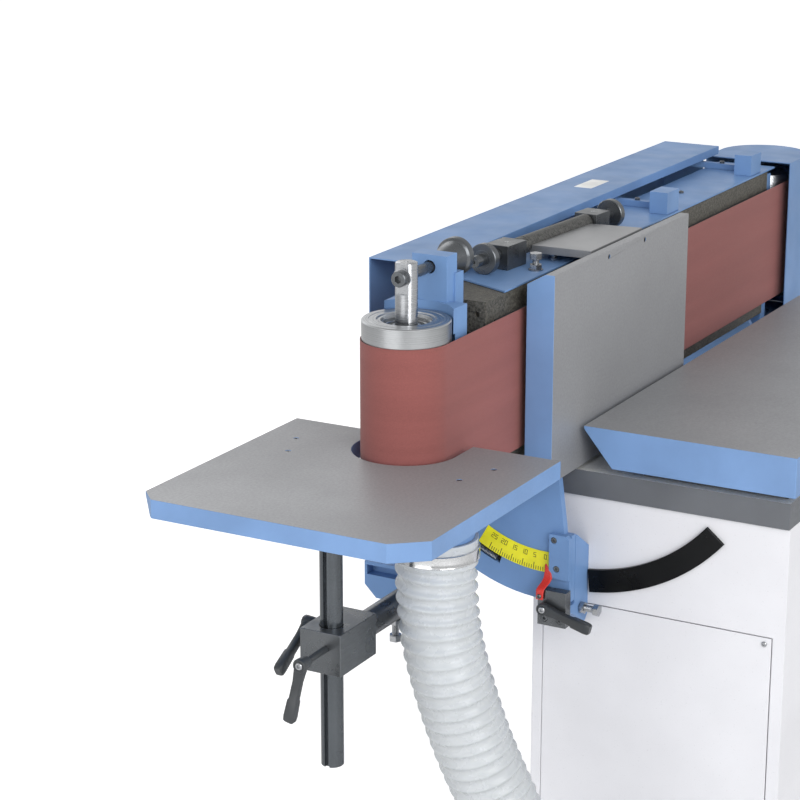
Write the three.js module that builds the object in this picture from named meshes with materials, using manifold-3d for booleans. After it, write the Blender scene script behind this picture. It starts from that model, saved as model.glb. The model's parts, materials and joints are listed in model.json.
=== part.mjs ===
// Edge belt grinder: a long abrasive belt runs upright round an idler roller and a drive roller.
// The whole grinding unit tilts on two quadrants over a fixed cabinet with a flat main table.
// A small notched table on a post serves the idler end.
//
// Lengths are millimetres. X runs along the machine away from the idler roller, Y runs to the
// back and Z runs up. Inside the machine group the origin is on the idler roller's axis, level
// with the top of the small table; the group's own offset puts the floor at Z = 0.
import * as THREE from 'three';
import { mergeVertices } from 'three/addons/utils/BufferGeometryUtils.js';
import Module from 'manifold-3d';

const wasm = await Module();
wasm.setup();

// ---------------------------------------------------------------- driving dimensions
const FLOOR = -930;
const GAP = 0.3;
const ROUND = 24;
const ROLLER_ROUND = 36;

const BELT_WIDTH = 200;
const BELT_BOTTOM = -48;
const BELT_TOP = BELT_BOTTOM + BELT_WIDTH;
const BELT_INNER_RADIUS = 60;
const BELT_THICKNESS = 1.2;
const ROLLER_RADIUS = 59.5;
const DRIVE_X = 1308;

const SHAFT_RADIUS = 15;
const SHAFT_TOP = 255;
const BEARING_RADIUS = 31;
const ROD_RADIUS = 7.5;
const TRACKING_Z = 235.5;
const KNOB = { start: 93, collar: 15, radius: 26, length: 50 };

const TILT_Y = -88;
const TILT_Z = -26;
const QUADRANT_RADIUS = 256;
const QUADRANT_THICKNESS = 12;
const QUADRANT_LEFT_X = 252;
const QUADRANT_RIGHT_X = 1126;
// Inner radius, outer radius, first and last angle about the tilt axis.
const LOCK_SLOT = [214.5, 226, 19, 60];
const SCALE_SECTOR = [183, 214, -1.6, 30];

const BEAM_START = 126;
const BEAM_FRONT = -52;
const BEAM_BACK = 50;
const BEAM_END = 1190;
const BEAM_BOTTOM = -70;
const BEAM_TOP = 179.5;
const TOP_PLATE_Z = 180;
const TOP_PLATE_THICKNESS = 3;

const TONGUE = { x: [70, 240], y: [-20, 20], z: [20, 80] };
const SPRING = { start: 243, end: 295, turns: 6, radius: 15, wire: 2, z: 50 };
const GUARD = { start: 1232, radius: 78, sheet: 2, z: [-95.7, 190] };
const HOOD = { x: [170, 1225], y: [52, 154], z: [-60, 210], sheet: 2, lip: 14 };

const FENCE_START = 208;
const FENCE_END = 682;
const FENCE_FRONT = -115;
const FENCE_BACK = -73;
const FENCE_BOTTOM = -92;
const FENCE_TOP = 206;
const HINGE_Z = 205;
const HINGE_START = [257.4, 18.6];
const HINGE_END = [613.4, -7.5];

const CABINET_START = 310;
const CABINET_END = 1080;
const CABINET_FRONT = -430;
const CABINET_BACK = -41;
const CABINET_TOP = -136;
const BED_TOP = -97.5;
const PLINTH_HEIGHT = 50;
const PLINTH = { x: [300, 1090], y: [-440, 130] };

const TABLE_TOP = -28;
const TABLE_BOTTOM = -86;
const TABLE = { x: [295, 1180], front: -440, edge: -123, edgeHeight: 4, undercut: 45 };

const SMALL_TABLE = {
  x: [-338, 52],
  y: [-202, 202],
  rim: 25,
  notchRadius: 73,
  backCorner: 25,
  frontCorner: [35, 42],
  screws: { radius: 3.4, depth: 12, centres: [[-30, 153], [-83, 133], [-23, -142], [-83, -123]] },
};
const POST_X = -198;
const POST_RADIUS = 15;
const BAR_Z = -212;
const BAR_RADIUS = 18;
const BAR_START = -177.5;
const BAR_END = 62;
const CLAMP_BLOCK = { x: [-227, -135], y: [-30, 30], z: [-238, -181] };

const PORT_CENTRE = [-62, -80];
const PORT_RADIUS = 47;
const HOSE_RADIUS = 54;
const HOSE_BORE = 50;
const HOSE_TOP = -88;
const LOW_PORT = { y: -240, z: -805 };

// ---------------------------------------------------------------- materials
const finish = (color, roughness, metalness) =>
  new THREE.MeshStandardMaterial({ color, roughness, metalness });
const bluePaint = finish(0x7a98c2, 0.45, 0.1);
const whitePaint = finish(0xdededf, 0.5, 0.1);
const groundSteel = finish(0x96989b, 0.45, 0.8);
const castDark = finish(0x4c4c4b, 0.8, 0.5);
const blackSteel = finish(0x45494b, 0.5, 0.7);
const brightSteel = finish(0xc4c6c9, 0.25, 0.9);
const aluminium = finish(0xc9cbcc, 0.3, 0.9);
const abrasive = finish(0x96504c, 0.9, 0);
const graphite = finish(0x2c2d2f, 0.8, 0.1);
const blackPlastic = finish(0x303336, 0.5, 0);
const yellowScale = finish(0xebe61e, 0.5, 0);
const redPlastic = finish(0xd73c32, 0.5, 0);
const greenPlastic = finish(0x2d8b46, 0.5, 0);
const hosePlastic = finish(0xc8cdd2, 0.3, 0);
const motorPaint = finish(0x55595e, 0.6, 0.2);
const switchPlastic = finish(0x3a3d40, 0.6, 0);

// ---------------------------------------------------------------- solids from geometry
function solidOf(geometry) {
  const bare = geometry.clone();
  bare.deleteAttribute('normal');
  bare.deleteAttribute('uv');
  const merged = mergeVertices(bare, 1e-4);
  const vertProperties = new Float32Array(merged.attributes.position.array);
  const triVerts = new Uint32Array(merged.index.array);
  return new wasm.Manifold(new wasm.Mesh({ numProp: 3, vertProperties, triVerts }));
}

function geometryOf(solid) {
  const mesh = solid.getMesh();
  const geometry = new THREE.BufferGeometry();
  geometry.setAttribute('position', new THREE.BufferAttribute(mesh.vertProperties, 3));
  geometry.setIndex(new THREE.BufferAttribute(mesh.triVerts, 1));
  geometry.computeVertexNormals();
  return geometry;
}

function cut(geometry, ...tools) {
  return geometryOf(tools.reduce((solid, tool) => solid.subtract(solidOf(tool)), solidOf(geometry)));
}

function join(geometry, ...others) {
  return geometryOf(others.reduce((solid, other) => solid.add(solidOf(other)), solidOf(geometry)));
}

// ---------------------------------------------------------------- basic shapes
function block([x0, x1], [y0, y1], [z0, z1]) {
  const geometry = new THREE.BoxGeometry(x1 - x0, y1 - y0, z1 - z0);
  return geometry.translate((x0 + x1) / 2, (y0 + y1) / 2, (z0 + z1) / 2);
}

function shapeOf(points) {
  return new THREE.Shape(points.map(([u, v]) => new THREE.Vector2(u, v)));
}

// A shape drawn in Y and Z, carried along X from x0 to x1.
function alongX(shape, x0, x1) {
  const geometry = new THREE.ExtrudeGeometry(shape, {
    depth: x1 - x0, bevelEnabled: false, curveSegments: ROUND / 2,
  });
  const basis = new THREE.Matrix4().makeBasis(
    new THREE.Vector3(0, 1, 0), new THREE.Vector3(0, 0, 1), new THREE.Vector3(1, 0, 0));
  return geometry.applyMatrix4(basis).translate(x0, 0, 0);
}

// A shape drawn in X and Y, carried up from z0 to z1.
function alongZ(shape, z0, z1) {
  const geometry = new THREE.ExtrudeGeometry(shape, {
    depth: z1 - z0, bevelEnabled: false, curveSegments: ROUND / 2,
  });
  return geometry.translate(0, 0, z0);
}

function cylinderZ(radius, z0, z1, x = 0, y = 0) {
  const geometry = new THREE.CylinderGeometry(radius, radius, z1 - z0, ROUND);
  return geometry.rotateX(Math.PI / 2).translate(x, y, (z0 + z1) / 2);
}

function cylinderX(radius, x0, x1, y = 0, z = 0) {
  const geometry = new THREE.CylinderGeometry(radius, radius, x1 - x0, ROUND);
  return geometry.rotateZ(Math.PI / 2).translate((x0 + x1) / 2, y, z);
}

function cylinderY(radius, y0, y1, x = 0, z = 0) {
  const geometry = new THREE.CylinderGeometry(radius, radius, y1 - y0, ROUND);
  return geometry.translate(x, (y0 + y1) / 2, z);
}

// A turned piece on the Z axis from [radius, z] pairs, listed anticlockwise.
function turned(profile, segments = ROUND) {
  const points = profile.map(([radius, z]) => new THREE.Vector2(radius, z));
  return new THREE.LatheGeometry(points, segments).rotateX(Math.PI / 2);
}

function closedRing(profile, segments = ROUND) {
  return turned([...profile, profile[0]], segments);
}

// A sector of a flat ring about the tilt axis, or about another centre. Angles are degrees
// from straight down, positive towards the back.
function tiltSector(innerRadius, outerRadius, from, to, [y, z] = [TILT_Y, TILT_Z]) {
  const angle = (degrees) => THREE.MathUtils.degToRad(degrees - 90);
  const shape = new THREE.Shape();
  shape.absarc(y, z, outerRadius, angle(from), angle(to), false);
  shape.absarc(y, z, innerRadius, angle(to), angle(from), true);
  shape.closePath();
  return shape;
}

function hexagonZ(acrossFlats, z0, z1, x = 0, y = 0) {
  const corner = acrossFlats / Math.sqrt(3);
  const geometry = new THREE.CylinderGeometry(corner, corner, z1 - z0, 6);
  return geometry.rotateX(Math.PI / 2).translate(x, y, (z0 + z1) / 2);
}

function mesh(name, geometry, material, parent, position = [0, 0, 0]) {
  const piece = new THREE.Mesh(geometry, material);
  piece.name = name;
  piece.position.set(...position);
  parent.add(piece);
  return piece;
}

// ---------------------------------------------------------------- base
function basePlinth(parent) {
  const wall = 5;
  const top = FLOOR + PLINTH_HEIGHT;
  const outer = block(PLINTH.x, PLINTH.y, [FLOOR, top]);
  const inner = block(
    [PLINTH.x[0] + wall, PLINTH.x[1] - wall], [PLINTH.y[0] + wall, PLINTH.y[1] - wall],
    [FLOOR + wall, top - wall]);
  const cable = { radius: 14, x: 980 };
  const cableHole = cylinderY(
    cable.radius, PLINTH.y[1] - 2 * wall, PLINTH.y[1] + wall, cable.x, FLOOR + PLINTH_HEIGHT / 2);
  mesh('base_plinth', cut(outer, inner, cableHole), blackSteel, parent);
}

const PANEL = { y: [-411, -58], z: [-860, -300] };

function cabinet(parent) {
  const sheet = 3;
  const box = (inset) => block(
    [CABINET_START + inset, CABINET_END - inset], [CABINET_FRONT + inset, CABINET_BACK - inset],
    [FLOOR + PLINTH_HEIGHT + inset, CABINET_TOP - inset]);
  const doorway = block([CABINET_START - 1, CABINET_START + sheet + 1], PANEL.y, PANEL.z);
  mesh('cabinet', cut(box(0), box(sheet), doorway), whitePaint, parent);
}

function cabinetEndPanel(parent) {
  const seam = 0.8;
  const sheet = 2.5;
  const plate = block(
    [CABINET_START, CABINET_START + sheet],
    [PANEL.y[0] + seam, PANEL.y[1] - seam], [PANEL.z[0] + seam, PANEL.z[1] - seam]);
  const portHole = cylinderX(PORT_RADIUS - 2, CABINET_START - 1, CABINET_START + 4, LOW_PORT.y, LOW_PORT.z);
  mesh('cabinet_end_panel', cut(plate, portHole), whitePaint, parent);
}

function hosePort(parent) {
  const inner = PORT_RADIUS - 2;
  const [length, flangeRadius, flange] = [47, 64, 4];
  const tube = [
    [inner, -length], [PORT_RADIUS, -length], [PORT_RADIUS, -flange], [flangeRadius, -flange],
    [flangeRadius, 0], [inner, 0],
  ];
  const piece = mesh('hose_port', closedRing(tube), blackPlastic, parent,
    [CABINET_START - GAP, LOW_PORT.y, LOW_PORT.z]);
  piece.rotation.y = Math.PI / 2;
}

function bedPlate(parent) {
  const overhang = 4;
  const back = -74;
  const span = [CABINET_START - overhang, CABINET_END + overhang];
  mesh('bed_plate', block(span, [CABINET_FRONT, back], [CABINET_TOP, BED_TOP]), groundSteel, parent);
}

const RAIL = { centre: [-105, 20], inner: 267, outer: 301, from: -50, to: -5.5, thickness: 6 };

function arcRail(parent) {
  const sector = tiltSector(RAIL.inner, RAIL.outer, RAIL.from, RAIL.to, RAIL.centre);
  const back = CABINET_START - GAP;
  mesh('arc_rail', alongX(sector, back - RAIL.thickness, back), blackPlastic, parent);
}

// The bracket straddles a quadrant: a cheek on the outer side, a body on the cabinet side and
// a bridge below the quadrant's rim. It is drawn by distance from the cheek's outer face.
const BRACKET = {
  depth: CABINET_START - GAP - 242,
  y: [-129, -98],
  outline: [[0, -178], [21, -178], [67.7, -210], [67.7, -314], [58, -324], [0, -289]],
  top: -178,
  slot: [8.8, 22.5],
  slotFloor: -284,
  chamfer: 6,
  cheekStep: { depth: 4, z: [-300, -244] },
  wells: { radius: 5, depth: 4, centres: [[-104.7, -186.7], [-109.5, -229.2]] },
};

function trunnionBracket(name, parent, cheekFace, side) {
  const { y, outline, top, slot, slotFloor, chamfer, cheekStep, wells } = BRACKET;
  const along = (distances) => distances.map((d) => cheekFace + side * d).sort((p, q) => p - q);
  const width = y[1] - y[0];
  const profile = shapeOf(outline.map(([d, z]) => [side * d, z]));
  const body = alongZ(profile, 0, width).rotateX(Math.PI / 2).translate(cheekFace, y[1], 0);
  const across = [y[0] - 1, y[1] + 1];
  const gap = block(along(slot), across, [slotFloor, top + 1]);
  const corner = alongX(
    shapeOf([[y[0] - 1, top - chamfer], [y[0] + chamfer, top + 1], [y[0] - 1, top + 1]]),
    ...along([-1, BRACKET.depth + 1]));
  const step = block(along([-1, cheekStep.depth]), across, cheekStep.z);
  const screwWells = wells.centres.map(([holeY, holeZ]) =>
    cylinderX(wells.radius, ...along([-1, wells.depth]), holeY, holeZ));
  mesh(name, cut(body, gap, corner, step, ...screwWells), bluePaint, parent);
}

const TILT_BLOCK = { x: [226, 241.7], y: [-133, -89], z: [-310, -257] };
const TILT_LEVER = [-101.3, -283];

function tiltClampBlock(parent) {
  const [face, back] = TILT_BLOCK.x;
  const wells = { radius: 5.5, depth: 5, y: [-99.6, -123.6], z: -299.5 };
  const bore = cylinderX(4.5, face - 1, back + 1, ...TILT_LEVER);
  const sockets = wells.y.map((y) => cylinderX(wells.radius, face - 1, face + wells.depth, y, wells.z));
  const body = block(TILT_BLOCK.x, TILT_BLOCK.y, TILT_BLOCK.z);
  mesh('tilt_clamp_block', cut(body, bore, ...sockets), blackSteel, parent);
}

// A thin plate that stands on the clamp block, its tip in front of the scale.
function tiltPointer(parent) {
  const foot = TILT_BLOCK.z[1] + GAP;
  const shoulder = foot + 16.7;
  const outline = shapeOf([
    [-97, foot], [-89, foot], [-88, shoulder], [-88, shoulder + 13], [-97, shoulder],
  ]);
  mesh('tilt_pointer', alongX(outline, 238.5, 241.5), redPlastic, parent);
}

// A hexagon bolt's envelope: a round shank and a round head, standing along +Z from the joint face.
function boltProfile(shankRadius, shank, headRadius, head) {
  return [
    [0, 0], [shankRadius, 0], [shankRadius, shank], [headRadius, shank], [headRadius, shank + head],
    [0, shank + head],
  ];
}

function tiltStopBolt(parent) {
  const bolt = mesh('tilt_stop_bolt', turned(boltProfile(5, 22, 9, 7), 16), brightSteel, parent,
    [280, BRACKET.y[0] - GAP, -294]);
  bolt.rotation.x = Math.PI / 2;
}

// The table's edge is thin at the belt and undercut below, which leaves room for the tilt.
function mainTable(parent) {
  const { x, front, edge, edgeHeight, undercut } = TABLE;
  const outline = shapeOf([
    [front, TABLE_BOTTOM], [edge - undercut, TABLE_BOTTOM], [edge, TABLE_TOP - edgeHeight],
    [edge, TABLE_TOP], [front, TABLE_TOP],
  ]);
  mesh('main_table', alongX(outline, ...x), groundSteel, parent);
}

function tableSupports(parent) {
  const boltRadius = 12;
  for (const [name, x] of [['table_support_left', 384], ['table_support_right', 1006]]) {
    const pad = block([-60, 60], [-105, 110], [BED_TOP + GAP, TABLE_BOTTOM - GAP]);
    const bore = cylinderZ(boltRadius, BED_TOP - 1, TABLE_BOTTOM + 1);
    mesh(name, cut(pad, bore), castDark, parent, [x, -315, 0]);
  }
}

const SWITCH = { x: [700, 780], y: [-470, CABINET_FRONT - GAP], z: [-330, -200] };
const BUTTON_RADIUS = 14;
const BUTTONS = [
  { name: 'start_button', z: -238, material: greenPlastic },
  { name: 'stop_button', z: -292, material: redPlastic },
];

function switchBox(parent) {
  const centreX = (SWITCH.x[0] + SWITCH.x[1]) / 2;
  const front = SWITCH.y[0];
  const wellDepth = 16;
  const wells = BUTTONS.map(({ z }) =>
    cylinderY(BUTTON_RADIUS + 1, front - 1, front + wellDepth, centreX, z));
  mesh('switch_box', cut(block(SWITCH.x, SWITCH.y, SWITCH.z), ...wells), switchPlastic, parent);
  for (const { name, z, material } of BUTTONS) {
    const cap = turned([[0, 0], [BUTTON_RADIUS, 0], [BUTTON_RADIUS, 14], [BUTTON_RADIUS - 2, 16], [0, 16]]);
    const button = mesh(name, cap, material, parent, [centreX, front + 9, z]);
    button.rotation.x = Math.PI / 2;
  }
}

// A clamping lever in its own frame: the spindle and hub stand along +Z from the clamped face,
// and the handle reaches along +X near the hub's outer end.
function clampLever(spindle, handleLength) {
  const hubHeight = 19;
  const hubTop = spindle + hubHeight;
  const hub = turned([
    [0, 0], [4, 0], [4, spindle], [8.5, spindle], [9.5, hubTop - 3], [7.5, hubTop], [0, hubTop],
  ], 20);
  const [rootWidth, gripRadius, thickness] = [14, 8, 12];
  const outline = new THREE.Shape();
  outline.moveTo(0, -rootWidth / 2);
  outline.lineTo(handleLength - gripRadius, -gripRadius);
  outline.absarc(handleLength - gripRadius, 0, gripRadius, -Math.PI / 2, Math.PI / 2, false);
  outline.lineTo(0, rootWidth / 2);
  outline.closePath();
  const handle = alongZ(outline, hubTop - 1 - thickness, hubTop - 1);
  return join(hub, handle);
}

// Turns a lever so that its spindle points outwards and its handle along the given direction.
function aimLever(lever, outwards, handle) {
  const z = new THREE.Vector3(...outwards);
  const x = new THREE.Vector3(...handle).normalize();
  lever.setRotationFromMatrix(new THREE.Matrix4().makeBasis(x, z.clone().cross(x), z));
}

function tiltLever(parent) {
  const lever = mesh('tilt_clamp_lever', clampLever(3, 68), blackPlastic, parent,
    [TILT_BLOCK.x[0] - GAP, ...TILT_LEVER]);
  aimLever(lever, [-1, 0, 0], [0, -0.972, -0.235]);
}

function base() {
  const group = new THREE.Group();
  basePlinth(group);
  cabinet(group);
  cabinetEndPanel(group);
  hosePort(group);
  bedPlate(group);
  arcRail(group);
  trunnionBracket('trunnion_bracket_left', group, CABINET_START - GAP - BRACKET.depth, 1);
  trunnionBracket('trunnion_bracket_right', group, CABINET_END + GAP + BRACKET.depth, -1);
  tiltClampBlock(group);
  tiltPointer(group);
  tiltStopBolt(group);
  mainTable(group);
  tableSupports(group);
  switchBox(group);
  tiltLever(group);
  return group;
}

// ---------------------------------------------------------------- tilting unit: frame
function platenBeam(parent) {
  const wall = 16;
  const depth = [BEAM_FRONT, BEAM_BACK];
  const web = block([BEAM_START, BEAM_END], [BEAM_FRONT, BEAM_FRONT + wall], [BEAM_BOTTOM, BEAM_TOP]);
  const lowerFlange = block([BEAM_START, BEAM_END], depth, [BEAM_BOTTOM, BEAM_BOTTOM + wall]);
  const upperFlange = block([BEAM_START, BEAM_END], depth, [BEAM_TOP - wall, BEAM_TOP]);
  const ends = [BEAM_START, 640, BEAM_END - wall].map((x) =>
    block([x, x + wall], depth, [BEAM_BOTTOM, BEAM_TOP]));
  const springSeat = block([SPRING.end + 3, SPRING.end + 17], [BEAM_FRONT + wall, 30], [28, 72]);
  const clear = 0.5;
  const tongueWay = block(
    [BEAM_START - 1, BEAM_START + wall + 1],
    [TONGUE.y[0] - clear, TONGUE.y[1] + clear], [TONGUE.z[0] - clear, TONGUE.z[1] + clear]);
  const endHole = cylinderX(3.5, BEAM_START - 1, BEAM_START + wall / 2, -38.8, 161);
  const body = join(web, lowerFlange, upperFlange, springSeat, ...ends);
  mesh('platen_beam', cut(body, tongueWay, endHole), castDark, parent);
}

function platenPad(parent) {
  const face = 0.4 - BELT_INNER_RADIUS;
  const inset = 2;
  mesh('platen_pad',
    block([150, BEAM_END - 10], [face, BEAM_FRONT - GAP], [BELT_BOTTOM + inset, BELT_TOP - inset]),
    graphite, parent);
}

function topPlate(parent) {
  const end = HOOD.x[1];
  const plate = shapeOf([[183, BEAM_FRONT], [end, BEAM_FRONT], [end, BEAM_BACK], [230, BEAM_BACK]]);
  mesh('top_plate', alongZ(plate, TOP_PLATE_Z, TOP_PLATE_Z + TOP_PLATE_THICKNESS), bluePaint, parent);
}

// A solid plate under the beam. Its front edge leans forward, then steps out to fill the
// bracket's slot down to the rim. Its top is notched to pass below the fence.
function quadrantShape() {
  const [frontAngle, endAngle] = [-9.2, 70];
  const tooth = { y: -128.5, top: BRACKET.top - 1 };
  const angle = (degrees) => THREE.MathUtils.degToRad(degrees - 90);
  const underBeam = BEAM_BOTTOM - GAP;
  const underFence = FENCE_BOTTOM - 2;
  const back = TILT_Y + QUADRANT_RADIUS * Math.sin(THREE.MathUtils.degToRad(endAngle));
  const shape = new THREE.Shape();
  shape.absarc(TILT_Y, TILT_Z, QUADRANT_RADIUS, angle(frontAngle), angle(endAngle), false);
  shape.lineTo(back, underBeam);
  shape.lineTo(BEAM_FRONT, underBeam);
  shape.lineTo(BEAM_FRONT - 10, underFence);
  shape.lineTo(-106, underFence);
  shape.lineTo(-117, tooth.top);
  shape.lineTo(tooth.y, tooth.top);
  shape.closePath();
  return shape;
}

function quadrants(parent) {
  const positions = [['quadrant_left', QUADRANT_LEFT_X], ['quadrant_right', QUADRANT_RIGHT_X]];
  for (const [name, x] of positions) {
    const plate = alongX(quadrantShape(), x, x + QUADRANT_THICKNESS);
    const slot = alongX(tiltSector(...LOCK_SLOT), x - 1, x + QUADRANT_THICKNESS + 1);
    mesh(name, cut(plate, slot), bluePaint, parent);
  }
}

function tiltScale(parent) {
  const foil = alongX(tiltSector(...SCALE_SECTOR), QUADRANT_LEFT_X - 1, QUADRANT_LEFT_X - GAP);
  mesh('tilt_scale', foil, yellowScale, parent);
}

// A bent sheet with a short lip in front. Its far end is closed behind the drive guard.
function rearHood(parent) {
  const { y: [y0, y1], z: [z0, z1], sheet, lip } = HOOD;
  const section = shapeOf([
    [y0, z1 - lip], [y0 + sheet, z1 - lip], [y0 + sheet, z1 - sheet], [y1 - sheet, z1 - sheet],
    [y1 - sheet, z0], [y1, z0], [y1, z1], [y0, z1],
  ]);
  const endWall = block([HOOD.x[1] - sheet, HOOD.x[1]], [GUARD.radius + sheet, y1 - 1], [z0, z1 - 1]);
  mesh('rear_hood', join(alongX(section, ...HOOD.x), endWall), bluePaint, parent);
}

// Each bracket is a block near the top plate's front edge. An arm at its far side runs back
// below the hood's lip and rises behind it to the hood's top.
function hoodBrackets(parent) {
  const [width, armWidth] = [46, 12];
  const [front, blockBack, back] = [-48, -18, 100];
  const onPlate = TOP_PLATE_Z + TOP_PLATE_THICKNESS + GAP;
  const arm = [width - armWidth, width];
  for (const [name, x] of [['hood_bracket_left', 757], ['hood_bracket_right', 1120]]) {
    const body = block([0, width], [front, blockBack], [onPlate, onPlate + 34.3]);
    const lowArm = block(arm, [blockBack - 1, back], [onPlate, onPlate + 9.7]);
    const riser = block(arm, [HOOD.y[0] + 5, back], [onPlate, HOOD.z[1] - HOOD.sheet - GAP]);
    mesh(name, join(body, lowArm, riser), bluePaint, parent, [x, 0, 0]);
  }
}

function stadium(radius, endX) {
  const shape = new THREE.Shape();
  shape.absarc(0, 0, radius, Math.PI / 2, Math.PI * 1.5, false);
  shape.absarc(endX, 0, radius, -Math.PI / 2, Math.PI / 2, false);
  shape.closePath();
  return shape;
}

function abrasiveBelt(parent) {
  const outline = stadium(BELT_INNER_RADIUS + BELT_THICKNESS, DRIVE_X);
  outline.holes.push(stadium(BELT_INNER_RADIUS, DRIVE_X));
  mesh('abrasive_belt', alongZ(outline, BELT_BOTTOM, BELT_TOP), abrasive, parent);
}

// ---------------------------------------------------------------- tilting unit: drive end
function driveGuard(parent) {
  const { start, radius, sheet, z } = GUARD;
  const wrap = (wall) => {
    const shape = new THREE.Shape();
    shape.absarc(DRIVE_X, 0, wall, -Math.PI / 2, Math.PI / 2, false);
    shape.lineTo(start, wall);
    shape.lineTo(start, -wall);
    return shape;
  };
  const space = [z[0] - 1, z[1] - sheet];
  const outer = alongZ(wrap(radius), ...z);
  const inner = alongZ(wrap(radius - sheet), ...space);
  const entry = block([start - 1, start + 1], [sheet - radius, radius - sheet], space);
  mesh('drive_guard', cut(outer, inner, entry), bluePaint, parent);
}

function driveRoller(parent) {
  const rim = ROLLER_RADIUS - 2.5;
  const [shaft, bottom, top] = [14, -60, 160];
  const profile = [
    [0, bottom - 65], [shaft, bottom - 65], [shaft, bottom], [rim, bottom], [ROLLER_RADIUS, bottom + 2],
    [ROLLER_RADIUS, top - 2], [rim, top], [40, top], [38, top - 4], [shaft + 2, top - 4], [shaft, top],
    [0, top],
  ];
  mesh('drive_roller', turned(profile, ROLLER_ROUND), aluminium, parent, [DRIVE_X, 0, 0]);
}

const MOTOR = { top: -108, bottom: -380, cowlBottom: -440, fins: 20, finRadius: 92, rootRadius: 82 };

function motorMount(parent) {
  const start = BEAM_END + GAP;
  const plate = block([start, 1400], [-90, 90], [MOTOR.top, MOTOR.top + 12]);
  const upright = block([start, start + 21.7], [BEAM_FRONT + 2, BEAM_BACK], [-100, 174]);
  const opening = cylinderZ(22, MOTOR.top - 2, MOTOR.top + 14, DRIVE_X, 0);
  mesh('motor_mount', cut(join(plate, upright), opening), bluePaint, parent);
}

function motor(parent) {
  const { top, bottom, cowlBottom, fins, finRadius, rootRadius } = MOTOR;
  const body = new THREE.Shape();
  for (let i = 0; i < fins * 4; i += 1) {
    const angle = ((i + 0.5) / (fins * 4)) * Math.PI * 2;
    const radius = i % 4 < 2 ? finRadius : rootRadius;
    const [x, y] = [radius * Math.cos(angle), radius * Math.sin(angle)];
    if (i === 0) body.moveTo(x, y);
    else body.lineTo(x, y);
  }
  body.closePath();
  const shaftWell = cylinderZ(17, top - 42, top + 8);
  mesh('motor_body', cut(alongZ(body, bottom, top - GAP), shaftWell), motorPaint, parent, [DRIVE_X, 0, 0]);
  const rim = finRadius + 2;
  const cowl = [
    [0, cowlBottom], [80, cowlBottom], [rim, cowlBottom + 12], [rim, bottom - GAP], [0, bottom - GAP],
  ];
  mesh('fan_cowl', turned(cowl), blackPlastic, parent, [DRIVE_X, 0, 0]);
}

// ---------------------------------------------------------------- tilting unit: idler end
// A hollow arm that hangs from the beam and carries the socket of the support bar.
function lowerBeam(parent) {
  const [start, end] = [40, 190];
  const section = shapeOf([
    [10, -186], [10, -222], [28, -238], [70, -238], [88, -220], [88, -186],
  ]);
  const arm = alongX(section, start, end);
  const pocket = block([start - 1, start + 16], [14, 84], [-205, -191]);
  const hanger = block([end - 46, end], [24, BEAM_BACK], [-200, BEAM_BOTTOM - GAP]);
  const barSocket = block([start - 10, BAR_END], [-25, 14], [-236, -188]);
  const bore = cylinderX(BAR_RADIUS + GAP, start - 20, BAR_END + 8, 0, BAR_Z);
  mesh('lower_beam', cut(join(arm, hanger, barSocket), bore, pocket), bluePaint, parent);
}

function supportBar(parent) {
  mesh('support_bar', cylinderX(BAR_RADIUS, BAR_START, BAR_END, 0, BAR_Z), blackSteel, parent);
}

function barLockBolt(parent) {
  const bolt = mesh('bar_lock_bolt', turned(boltProfile(5, 24, 8, 8), 16), brightSteel, parent,
    [-30, 0, BAR_Z - BAR_RADIUS - GAP]);
  bolt.rotation.x = Math.PI;
}

// An open box under the roller, with a round throat and a collar that the hose slips over.
function dustScoop(parent) {
  const wall = 2;
  const [x, y, z] = [[-118, 6], [-134, -33], [-74, -30]];
  const inside = ([low, high]) => [low + wall, high - wall];
  const mouth = block(x, y, z);
  const hollow = block(inside(x), inside(y), [z[0] + wall, z[1] + 10]);
  const throat = cylinderZ(PORT_RADIUS + 3, HOSE_TOP + GAP, z[0] + wall, ...PORT_CENTRE);
  const collar = cylinderZ(PORT_RADIUS, HOSE_TOP - 42, HOSE_TOP + 2, ...PORT_CENTRE);
  const rollerSpace = cylinderZ(67, -64, 0);
  const duct = cylinderZ(PORT_RADIUS - wall, HOSE_TOP - 50, -60, ...PORT_CENTRE);
  mesh('dust_scoop', cut(join(mouth, throat, collar), hollow, rollerSpace, duct), bluePaint, parent);
}

function hoseClamp(parent) {
  const [inner, outer, width] = [55.2, 56.4, 16];
  const band = closedRing([[inner, -width], [outer, -width], [outer, 0], [inner, 0]]);
  const lug = block([inner - 0.4, outer + 9.6], [-7, 7], [2 - width, -2]);
  const bore = cylinderZ(inner, -width - 1, 1);
  mesh('hose_clamp', cut(join(band, lug), bore), brightSteel, parent, [...PORT_CENTRE, HOSE_TOP - 12]);
}

function hose(parent) {
  const path = new THREE.CatmullRomCurve3([
    [...PORT_CENTRE, HOSE_TOP], [...PORT_CENTRE, -175], [-55, -88, -250], [-22, -110, -380],
    [18, -140, -500], [60, -178, -640], [120, -215, -745], [195, -237, -800],
    [255, LOW_PORT.y, LOW_PORT.z], [300, LOW_PORT.y, LOW_PORT.z],
  ].map((point) => new THREE.Vector3(...point)), false, 'centripetal');
  const ring = new THREE.Shape();
  ring.absarc(0, 0, HOSE_RADIUS, 0, Math.PI * 2, false);
  const bore = new THREE.Path();
  bore.absarc(0, 0, HOSE_BORE, 0, Math.PI * 2, true);
  ring.holes.push(bore);
  const geometry = new THREE.ExtrudeGeometry(ring, { steps: 22, curveSegments: 8, extrudePath: path });
  mesh('hose', geometry, hosePlastic, parent);
}

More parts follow.
